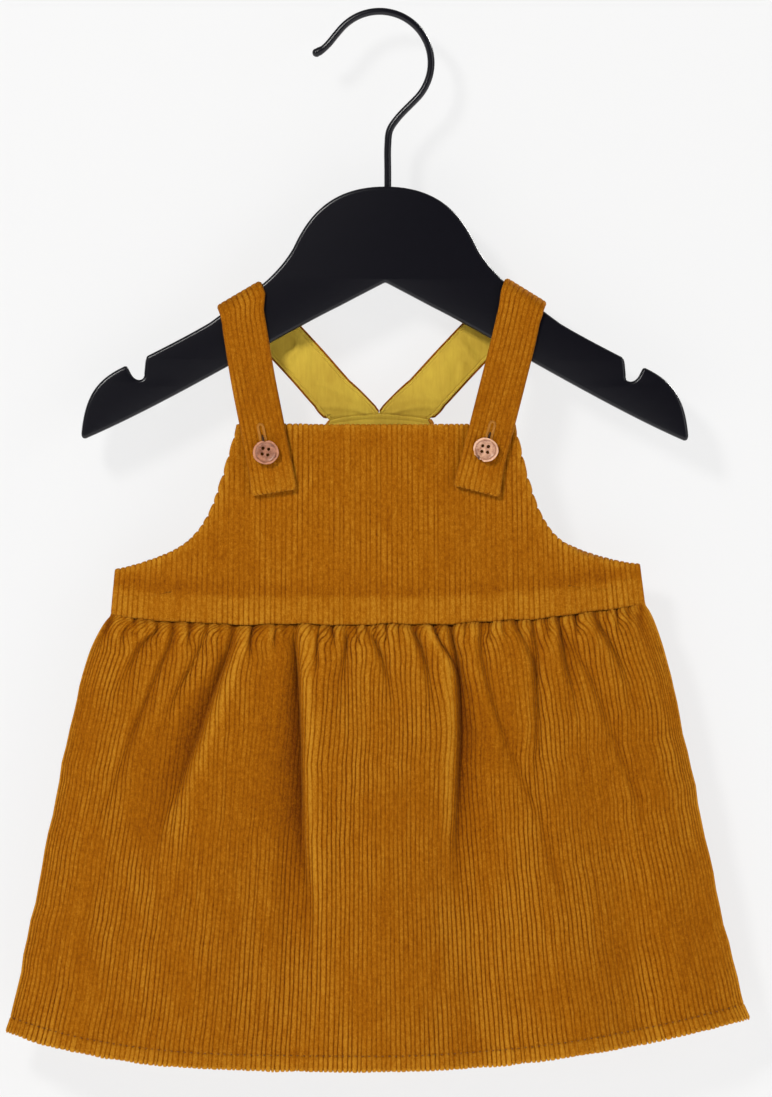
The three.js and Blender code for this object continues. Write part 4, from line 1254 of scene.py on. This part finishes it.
def buildLining(side):
    centre, across, outward, width, along = strapFrame(side)
    onwards = (centre[-1] - centre[-8]) / np.linalg.norm(centre[-1] - centre[-8])
    past = np.array(lining["tuckedRows"])
    tucked = centre[-1] + onwards * past[:, None] + np.array([0.0, 0.9, 0.0]) * ease(past, 0, 3)[:, None]
    centre = np.concatenate([centre, tucked])
    across, outward, width = (
        np.concatenate([rows, np.repeat(rows[-1:], len(past), axis=0)]) for rows in (across, outward, width)
    )
    neck, along = along[-1], np.concatenate([along, along[-1] + past])
    fromNeck = neck - along
    share = np.array(lining["columns"])
    share = np.concatenate([-share, share[-2::-1]])
    place = share[None, :] * (strap["liningHalf"] + (width - strap["width"])[:, None] / 2)
    fromEnd = np.broadcast_to(along[:, None], place.shape)
    total = along[-1]
    fromArm = fromEnd - lining["armShare"] * total
    creases = np.sin(fromArm / 2.6 + 2.2 * np.sin(place / 5)) * bell(fromArm, lining["armReach"])
    creases += 0.7 * np.sin(fromArm / 6.1 + place / 4 + 1)
    half = garment["lining"] / 2
    offset = half - lining["creaseDepth"] * creases * (1 - np.abs(share) ** 4)[None, :]
    offset -= lining["bulge"] * (1 - np.abs(share) ** 2)[None, :]
    stitches = bell(np.abs(share) - lining["stitchPlace"], lining["stitchWidth"])
    offset += lining["stitchDent"] * stitches[None, :]
    outwards, upwards = place * (-1 if side == "left" else 1), fromNeck[:, None] + np.zeros_like(place)
    room = (1 - np.abs(share) ** 6)[None, :] * (1 - ease(upwards, *lining["foldsEnd"]))
    for fold in liningFolds[side]:
        offset -= foldHeight(fold, outwards, upwards) * room
    middle = centre[:, None] + across[:, None] * place[..., None] + outward[:, None] * offset[..., None]
    edge = np.minimum(np.abs(np.abs(place) - np.abs(place[:, :1])), np.minimum(fromEnd, total - fromEnd))
    roll = roundedEdge(edge, half)
    facing = np.broadcast_to(outward[:, None], middle.shape)
    thickness = half * roll[..., None] * facing
    uv = np.stack([place, fromEnd], axis=2)
    piece = sheetObject(side + "StrapLining", middle - thickness, middle + thickness, uv, -facing, [cotton])
    return finishPiece(piece, "cotton", side + "_strap_lining")


leftStrap, rightStrap = buildStrap("left"), buildStrap("right")
leftLining, rightLining = buildLining("left"), buildLining("right")
print("straps ready")


facing = {
    "topHalf": 23.4,
    "footHalf": 36,
    "height": 28,
    "dip": 3,
    "topstitch": {"below": 2.2, "height": 0.25, "width": 0.45},
    "crease": {"x": -13, "depth": 0.5, "width": 2.2, "reach": 4},
    "ripples": {"depth": 0.25, "length": 3.1, "reach": 8},
    "rows": (0, 0.004, 0.012, 0.025, 0.04, 0.055, 0.07, 0.08, 0.09, 0.11, 0.14, 0.18, 0.24, 0.32, 0.42, 0.54,
             0.66, 0.78, 0.88, 0.95, 0.985, 0.996, 1),
}


def buildFacing():
    across = np.linspace(-1, 1, 61)
    down = np.array(facing["rows"])
    x = across[None, :] * mix(facing["topHalf"], facing["footHalf"], down)[:, None]
    top = topEdge("back", across * facing["topHalf"])
    z = mix(top[None, :], garment["backNeck"] - facing["height"], down[:, None])
    z = z - (1 - across[None, :] ** 2) * facing["dip"] * down[:, None]
    depth = bodiceDepth("back", x, z) - garment["gap"] - garment["lining"] / 2
    below = down[:, None] * facing["height"] * np.ones_like(x)
    stitches, crease, ripples = facing["topstitch"], facing["crease"], facing["ripples"]
    depth += stitches["height"] * bell(below - stitches["below"], stitches["width"])
    depth -= crease["depth"] * bell(x - crease["x"], crease["width"]) * np.exp(-below / crease["reach"])
    depth -= ripples["depth"] * np.sin(x / ripples["length"]) * bell(below, ripples["reach"])
    middle = np.stack([x, depth, z], axis=2)
    edge = np.minimum(np.minimum(below, facing["height"] - below), np.minimum(x - x[:, :1], x[:, -1:] - x))
    half = garment["lining"] / 2
    thickness = half * roundedEdge(edge, half)[..., None] * np.array([0.0, 1.0, 0.0])
    uv = np.stack([x, below], axis=2)
    outward = np.broadcast_to(np.array([0.0, -1.0, 0.0]), middle.shape)
    piece = sheetObject("backFacing", middle - thickness, middle + thickness, uv, outward, [cotton])
    return finishPiece(piece, "cotton", "back_facing")


backFacing = buildFacing()


def tiledThread(name, places, ways, ups, length, radius, finish, slot):
    bpy.ops.object.select_all(action="DESELECT")
    bpy.ops.mesh.primitive_uv_sphere_add(segments=6, ring_count=5, radius=1)
    piece = bpy.context.object
    piece.name = name
    piece.data.name = name
    piece.data.materials.append(finish)
    unit = np.array([vertex.co for vertex in piece.data.vertices])
    unit[:, 2] = np.sign(unit[:, 2]) * np.abs(unit[:, 2]) ** 0.7
    repeat = piece.modifiers.new("repeat", "ARRAY")
    repeat.count = len(places)
    bpy.ops.object.modifier_apply(modifier="repeat")
    places, ways, ups = (np.array(values, dtype=float) for values in (places, ways, ups))
    ways /= np.linalg.norm(ways, axis=1, keepdims=True)
    acrossWays = np.cross(ways, ups)
    acrossWays /= np.linalg.norm(acrossWays, axis=1, keepdims=True)
    ups = np.cross(acrossWays, ways)
    lengths = np.broadcast_to(length, len(places))[:, None, None]
    unitX, unitY, unitZ = (unit[None, :, k, None] for k in range(3))
    corners = places[:, None] + ways[:, None] * unitZ * lengths / 2
    corners = corners + acrossWays[:, None] * unitX * radius + ups[:, None] * unitY * radius
    piece.data.vertices.foreach_set("co", (corners.reshape(-1, 3) * mm).astype(np.float32).ravel())
    piece.data.polygons.foreach_set("use_smooth", np.ones(len(piece.data.polygons), dtype=bool))
    piece.data.update()
    return finishPiece(piece, slot)


hemStitch = {"pitch": 3.2, "length": 2.3, "radius": 0.22, "proud": 0.55}


def buildHemStitches(layer, middle, levels):
    length = levels[-1]
    row = int(np.argmin(np.abs(length - levels - skirt["stitchLine"])))
    line = middle[row]
    lengths = lengthsAlong(line)
    stops = np.arange(2.0, lengths[-1] - 2, hemStitch["pitch"])
    places = np.stack([np.interp(stops, lengths, line[:, k]) for k in range(3)], axis=1)
    ahead = np.stack([np.interp(stops + 0.8, lengths, line[:, k]) for k in range(3)], axis=1)
    away = depths[layer]["facing"]
    places[:, 1] += away * (garment["cloth"] / 2 + hemStitch["proud"])
    ups = np.tile([0.0, away, 0.0], (len(places), 1))
    return tiledThread(
        layer + "HemStitches", places, ahead - places, ups,
        hemStitch["length"], hemStitch["radius"], brownThread, "corduroy",
    )


frontHemStitches = buildHemStitches("front", frontMiddle, skirtRows)
backHemStitches = buildHemStitches("back", backMiddle, skirtRows)
print("stitches ready")


buttons = {
    "thick": 2.6,
    "steps": ((0.35, 0), (0.8, 0), (0.45, 0.42), (0.6, 0.18), (1.6, 0.05)),  # inwards and down into the dish
    "hole": 1.6,
    "spacing": 2.76,
    "turn": -9,
    "holesMiddle": (-0.25, 0.35),
    "reach": 14.2,  # of the buttonhole up the strap, from the button's middle
}
buttonSides = {
    "left": {
        "place": (-54.2, -210),
        "size": (6.15, 5.85),
        "waves": ((2, 0.010, 0.4), (3, 0.012, 1.9), (5, 0.006, 0.3)),
        "dents": ((93, 0.75, 11), (-38, 0.2, 16)),
        "bark": (0.05, 1.12, 0.20),  # across and up in radii, then its own radius
        "tones": ((0.13, 0.042, 0.020, 1), (0.42, 0.18, 0.10, 1)),
    },
    "right": {
        "place": (51.1, -208.8),
        "size": (6.05, 5.8),
        "waves": ((2, 0.012, 1.4), (3, 0.010, 0.4), (7, 0.006, 1.1)),
        "dents": ((-170, 0.5, 9), (-140, 0.45, 14), (-112, 0.75, 8), (60, 0.15, 20)),
        "bark": (-0.80, -0.72, 0.36),
        "tones": ((0.20, 0.075, 0.038, 1), (0.62, 0.36, 0.23, 1)),
    },
}


# A pale line follows the rim with a darker one inside it, and some bark may be left at one side.
def coconutGroup():
    inputs = {label: "Vector" for label in ("Spot", "Middle", "PerRadius", "Bark")}
    inputs |= {"BarkSize": "Float", "Dark": "Color", "Light": "Color", "BarkTone": "Color"}
    group, enter, leave = newGroup("coconutShell", inputs, {"Color": "Color", "Height": "Float"})
    spot = enter["Spot"]
    cloud = noiseValue(group, spot, 380.0, 4.0, 0.65)
    grain = noiseValue(group, spot, (700.0, 700.0, 3600.0), 3.0, 0.6)
    fromMiddle = addNode(group, "ShaderNodeVectorMath", {0: spot, 1: enter["Middle"]}, operation="SUBTRACT")
    flat = stretched(group, fromMiddle.outputs[0], enter["PerRadius"])
    out = addNode(group, "ShaderNodeVectorMath", {0: flat}, operation="LENGTH").outputs["Value"]
    rim = ranged(group, out, 0.84, 0.90)
    ring = ranged(group, calc(group, "ABSOLUTE", minus(group, out, 0.80)), 0.06, 0.0)
    away = addNode(group, "ShaderNodeVectorMath", {0: flat, 1: enter["Bark"]}, operation="DISTANCE")
    ragged = centred(group, noiseValue(group, spot, 700.0, 3.0), 0.7)
    inner = minus(group, enter["BarkSize"], 0.12)
    bark = ranged(group, added(group, away.outputs["Value"], ragged), enter["BarkSize"], inner)
    tone = added(group, centred(group, cloud, 2.2), grain, -0.04)
    tone = added(group, tone, times(group, rim, 0.45), times(group, ring, -0.30))
    shell = blended(group, tone, enter["Dark"], enter["Light"])
    group.links.new(blended(group, bark, shell, enter["BarkTone"]), leave["Color"])
    group.links.new(grain, leave["Height"])
    return group


coconut = coconutGroup()


def coconutMaterial(name, look):
    (x, z), (wide, high) = look["place"], look["size"]
    barkX, barkZ, barkSize = look["bark"]
    values = {
        "Middle": (x * mm, 0, z * mm),
        "PerRadius": (1 / (wide * mm), 0, 1 / (high * mm)),
        "Bark": (barkX, 0, barkZ),
        "BarkSize": barkSize,
        "Dark": look["tones"][0],
        "Light": look["tones"][1],
        "BarkTone": (0.05, 0.018, 0.010, 1),
    }
    return finishMaterial(name, coconut, values, (0.00008, 0.4), Roughness=0.38, Specular_IOR_Level=0.45)


def buildButton(side):
    look = buttonSides[side]
    x, z = look["place"]
    strapDepth = garment["lining"] + garment["gap"] + garment["cloth"] + garment["rib"]
    backDepth = onBib(x, z) - (strapDepth + garment["gap"] + 0.15)
    bpy.ops.object.select_all(action="DESELECT")
    bpy.ops.mesh.primitive_cylinder_add(vertices=72, radius=1, depth=buttons["thick"])
    disc = bpy.context.object
    disc.name = side + "Button"
    disc.data.name = disc.name
    bpy.ops.object.mode_set(mode="EDIT")
    bpy.ops.mesh.select_all(action="DESELECT")
    bpy.ops.object.mode_set(mode="OBJECT")
    for face in disc.data.polygons:
        face.select = face.normal.z > 0.9
    bpy.ops.object.mode_set(mode="EDIT")
    bpy.ops.mesh.select_mode(type="FACE")
    radius = look["size"][0]
    for inwards, sunk in buttons["steps"]:
        bpy.ops.mesh.inset(thickness=inwards / radius, depth=-sunk)
    bpy.ops.object.mode_set(mode="OBJECT")
    for vertex in disc.data.vertices:
        out = math.hypot(vertex.co.x, vertex.co.y)
        angle = math.atan2(vertex.co.y, vertex.co.x)
        swell = sum(size * math.cos(count * angle + start) for count, size, start in look["waves"])
        dent = sum(
            depth * bell((math.degrees(angle) - at + 180) % 360 - 180, width)
            for at, depth, width in look["dents"]
        )
        grow = 1 + (swell - dent / radius) * out**3
        vertex.co.x *= look["size"][0] * grow
        vertex.co.y *= look["size"][1] * grow
    bevel = disc.modifiers.new("edge", "BEVEL")
    bevel.width = 0.42
    bevel.segments = 3
    bevel.limit_method = "ANGLE"
    bevel.angle_limit = math.radians(50)
    bpy.ops.object.modifier_apply(modifier="edge")
    offX, offY = buttons["holesMiddle"]
    cosine, sine = math.cos(math.radians(buttons["turn"])), math.sin(math.radians(buttons["turn"]))
    for sideways in (-0.5, 0.5):
        for upwards in (-0.5, 0.5):
            step = Vector((sideways, upwards)) * buttons["spacing"]
            place = (step.x * cosine - step.y * sine + offX, step.x * sine + step.y * cosine + offY, 0)
            drill(disc, buttons["hole"] / 2, 4 * buttons["thick"], place, 18)
    disc.data.materials.append(coconutMaterial(side + "Coconut", look))
    stand = Matrix.Translation((x * mm, (backDepth - buttons["thick"] / 2) * mm, z * mm))
    disc.data.transform(stand @ Matrix.Rotation(math.pi / 2, 4, "X") @ Matrix.Scale(mm, 4))
    shadeSmooth(disc, 38)
    return finishPiece(disc, "coconut", side + "_button")


for side in ("left", "right"):
    buildButton(side)


buttonhole = {
    "half": 1.2,
    "foot": -3.0,
    "roundEnd": 1.6,
    "stitches": 46,
    "stitchLength": 1.4,
    "stitchRadius": 0.26,
    "slit": {"place": 6.6, "length": 4.6, "radius": 0.5, "sunk": 0.1},
}


def buildButtonhole(side):
    centre, across, outward, _, along = strapFrame(side)
    x, z = buttonSides[side]["place"]
    start = float(np.interp(z, centre[:, 2], along))
    surface = strap["middle"] + garment["cloth"] / 2 + strap["pile"] + 0.1

    def onStrap(up, out, lift):
        at = start + up
        tables = (centre, across, outward)
        spot, sideways, away = (np.array([np.interp(at, along, row) for row in table.T]) for table in tables)
        drift = x - np.interp(start, along, centre[:, 0])
        return spot + sideways * (out + drift) + away * (surface + lift), sideways, away

    places, ways, ups = [], [], []
    arch, foot, count = buttonhole["half"], buttonhole["foot"], buttonhole["stitches"]
    top = buttons["reach"] - buttonhole["roundEnd"]
    for k in range(count):
        up = mix(foot, top, k / (count - 1))
        for edge in (-1, 1):
            place, sideways, away = onStrap(up, edge * arch, 0.05 + 0.03 * math.sin(k * 2.4))
            places.append(place)
            ways.append(sideways + 0.05 * math.sin(k * 1.7) * away)
            ups.append(away)
    for k in range(1, 8):
        angle = math.pi * k / 8
        place, sideways, away = onStrap(top + arch * math.sin(angle), arch * math.cos(angle), 0.05)
        ahead, _, _ = onStrap(top + 2 * arch * math.sin(angle), 2 * arch * math.cos(angle), 0.05)
        places.append(place)
        ways.append(ahead - place)
        ups.append(away)
    slit = buttonhole["slit"]
    place, _, away = onStrap(slit["place"], 0.0, -slit["sunk"])
    ahead, _, _ = onStrap(slit["place"] + 1.4, 0.0, -slit["sunk"])
    tiledThread(
        side + "ButtonholeSlit", [place], [ahead - place], [away],
        slit["length"], slit["radius"], slitShade, "corduroy",
    )
    return tiledThread(
        side + "Buttonhole", places, ways, ups,
        buttonhole["stitchLength"], buttonhole["stitchRadius"], brightThread, "corduroy",
    )


for side in ("left", "right"):
    buildButtonhole(side)
print("buttons ready")


notch = {"x": 116.8, "width": 4.6, "mouth": -164.4, "foot": -175.7, "lean": 11}


def bezier(points, steps):
    t = np.linspace(0, 1, steps + 1)[:, None]
    points = [np.array(point, dtype=float) for point in points]
    if len(points) == 3:
        return (1 - t) ** 2 * points[0] + 2 * t * (1 - t) * points[1] + t * t * points[2]
    a, b, c, d = points
    return (1 - t) ** 3 * a + 3 * t * (1 - t) ** 2 * b + 3 * t * t * (1 - t) * c + t**3 * d


def hangerOutline():
    slope = math.tan(math.radians(armEdge["slope"]))

    def onArm(out):
        return (out, armEdge["z"] - slope * (out - armEdge["x"]))

    top, mouth, foot = hanger["top"], notch["mouth"], notch["foot"]
    slant = math.tan(math.radians(notch["lean"]))
    deep, half = mouth - foot, notch["width"] / 2
    inner, outer = notch["x"] - half, notch["x"] + notch["width"]
    # From the middle over the shoulder and down the arm, round the notch and the tip, and back underneath.
    stretches = (
        (26, (0, top), (27, top), (37.5, -97.5), (44.2, -112)),
        (10, (44.2, -112), (49, -120.6), onArm(58)),
        (12, onArm(84), (93, -153.4), (inner - 0.6, mouth + 0.4)),
        (3, (inner - 0.3, mouth + 0.1), (inner + 0.2, mouth - 0.6), (inner + slant * 3, mouth - 3)),
        (
            9,
            (inner + slant * deep * 0.45, foot + 3.4),
            (inner + slant * deep * 0.2, foot - 0.7),
            (notch["x"] + half + 0.6, foot - 1.2),
            (notch["x"] + half + 2.2 + slant * deep * 0.3, foot + 3),
        ),
        (3, (outer + 1.9, mouth - 5.6), (outer + 2.3, mouth - 4.4), (outer + 3.6, mouth - 4.7)),
        (20, (outer + 4.4, -169.5), (138.4, -175.6), (144, -183.6), (145.6, -201.2)),
        (5, (145.6, -201.2), (145.6, -203.2), (144.9, -204.2), (143.4, -203.8)),
        (22, (143.4, -203.8), (104, -186.8), (50, -153.6), (22, -139.9)),
        (6, (22, -139.9), (12, -134.6), (1.6, -129.2)),
        (3, (1.6, -129.2), (0.7, -128.7), (0, -128.6)),
    )
    right = [bezier(points, steps) for steps, *points in stretches]
    # A stretch that starts where the last one ends leaves out the shared point.
    joined = [right[0]]
    for stretch in right[1:]:
        shared = np.allclose(stretch[0], joined[-1][-1])
        joined.append(stretch[1:] if shared else stretch)
    right = np.concatenate(joined)
    left = right[1:-1][::-1] * np.array([-1, 1])
    return np.concatenate([right, left])


def curveObject(name, dimensions):
    data = bpy.data.curves.new(name, "CURVE")
    data.dimensions = dimensions
    data.resolution_u = 1
    piece = bpy.data.objects.new(name, data)
    bpy.context.scene.collection.objects.link(piece)
    return piece, data


def curveToMesh(piece):
    choose(piece)
    bpy.ops.object.convert(target="MESH")
    return bpy.context.object


blackWood, woodTree, woodShader = newMaterial(
    "blackWood", Base_Color=(0.0018, 0.0016, 0.0036, 1), Roughness=0.3, Specular_IOR_Level=0.24
)
woodSpot = addNode(woodTree, "ShaderNodeTexCoord").outputs["Object"]
woodGrain = noiseValue(woodTree, woodSpot, (60.0, 400.0, 900.0), 4.0, 0.6)
addBump(woodTree, woodShader, woodGrain, 0.00005, 0.35)
blackWire, _, _ = newMaterial(
    "blackWire", Base_Color=(0.0022, 0.0020, 0.0042, 1), Roughness=0.3, Specular_IOR_Level=0.24
)


def buildHanger():
    piece, data = curveObject("hangerPlate", "2D")
    outline = hangerOutline()
    spline = data.splines.new("POLY")
    spline.points.add(len(outline) - 1)
    for point, (x, z) in zip(spline.points, outline):
        point.co = (x, z - hanger["top"], 0, 1)
    spline.use_cyclic_u = True
    data.fill_mode = "BOTH"
    data.extrude = hanger["thick"] / 2 - hanger["bevel"]
    data.bevel_depth = hanger["bevel"]
    data.bevel_resolution = 4
    data.offset = -hanger["bevel"]
    plate = curveToMesh(piece)
    stand = Matrix.Rotation(math.radians(hanger["tilt"]), 4, "Y") @ Matrix.Rotation(math.pi / 2, 4, "X")
    stand = Matrix.Translation((hanger["middle"] * mm, 0, hanger["top"] * mm)) @ stand @ Matrix.Scale(mm, 4)
    plate.data.transform(stand)
    stemTop = (hanger["stem"] * mm, 0, hanger["top"] * mm)
    drill(plate, hanger["bore"] / 2 * mm, 2 * hanger["boreDepth"] * mm, stemTop, 32)
    plate.data.materials.clear()
    plate.data.materials.append(blackWood)
    shadeSmooth(plate, 35)
    return finishPiece(plate, "black_wood", "hanger")


buildHanger()

hook = {
    "wire": 3.5,
    "radius": 24.7,
    "middle": 0.3,
    "stemTop": -57,
    "stemFoot": -94,
    "start": 137,
    "end": -46,
    "tip": ((0, 0), (-3.4, -4.0), (-6.6, -7.9), (-9.6, -10.6), (-12.2, -12.0)),
}


def buildHook():
    centreZ = hook["wire"] / 2 - hook["radius"]

    def onCircle(angle):
        turn = math.radians(angle)
        return (hook["middle"] + hook["radius"] * math.cos(turn), centreZ + hook["radius"] * math.sin(turn))

    startX, startZ = onCircle(hook["start"])
    points = [(startX + x, startZ + z) for x, z in reversed(hook["tip"][1:])]
    points += [onCircle(mix(hook["start"], hook["end"], k / 34)) for k in range(35)]
    stem, top, foot = hanger["stem"], hook["stemTop"], hook["stemFoot"]
    points += [(stem + 4.7, top + 7.4), (stem + 0.9, top + 1.5), (stem, top - 6)]
    points += [(stem, (top + foot) / 2), (stem, foot)]
    knots = np.array([[x, 0, z, 0, 0, 0] for x, z in points], dtype=float)
    line = smoothRows(knots, 1.2)[:, :3]
    piece, data = curveObject("hangerHook", "3D")
    spline = data.splines.new("POLY")
    spline.points.add(len(line) - 1)
    for point, place, distance in zip(spline.points, line, lengthsAlong(line)):
        point.co = (*(place * mm), 1)
        point.radius = 1 + 0.22 * bell(distance - 1.2, 1.6)
    data.bevel_depth = hook["wire"] / 2 * mm
    data.bevel_resolution = 5
    data.use_fill_caps = True
    wire = curveToMesh(piece)
    bpy.ops.mesh.primitive_uv_sphere_add(
        segments=20, ring_count=12, radius=hook["wire"] / 2 * 1.2 * mm, location=tuple(line[0] * mm)
    )
    cap = bpy.context.object
    bpy.ops.object.transform_apply(location=True, rotation=True, scale=True)
    bpy.ops.object.select_all(action="DESELECT")
    cap.select_set(True)
    wire.select_set(True)
    bpy.context.view_layer.objects.active = wire
    bpy.ops.object.join()
    wire.data.materials.clear()
    wire.data.materials.append(blackWire)
    shadeSmooth(wire, 50)
    return finishPiece(wire, "black_wire", "hanger_hook")


buildHook()
print("hanger ready")
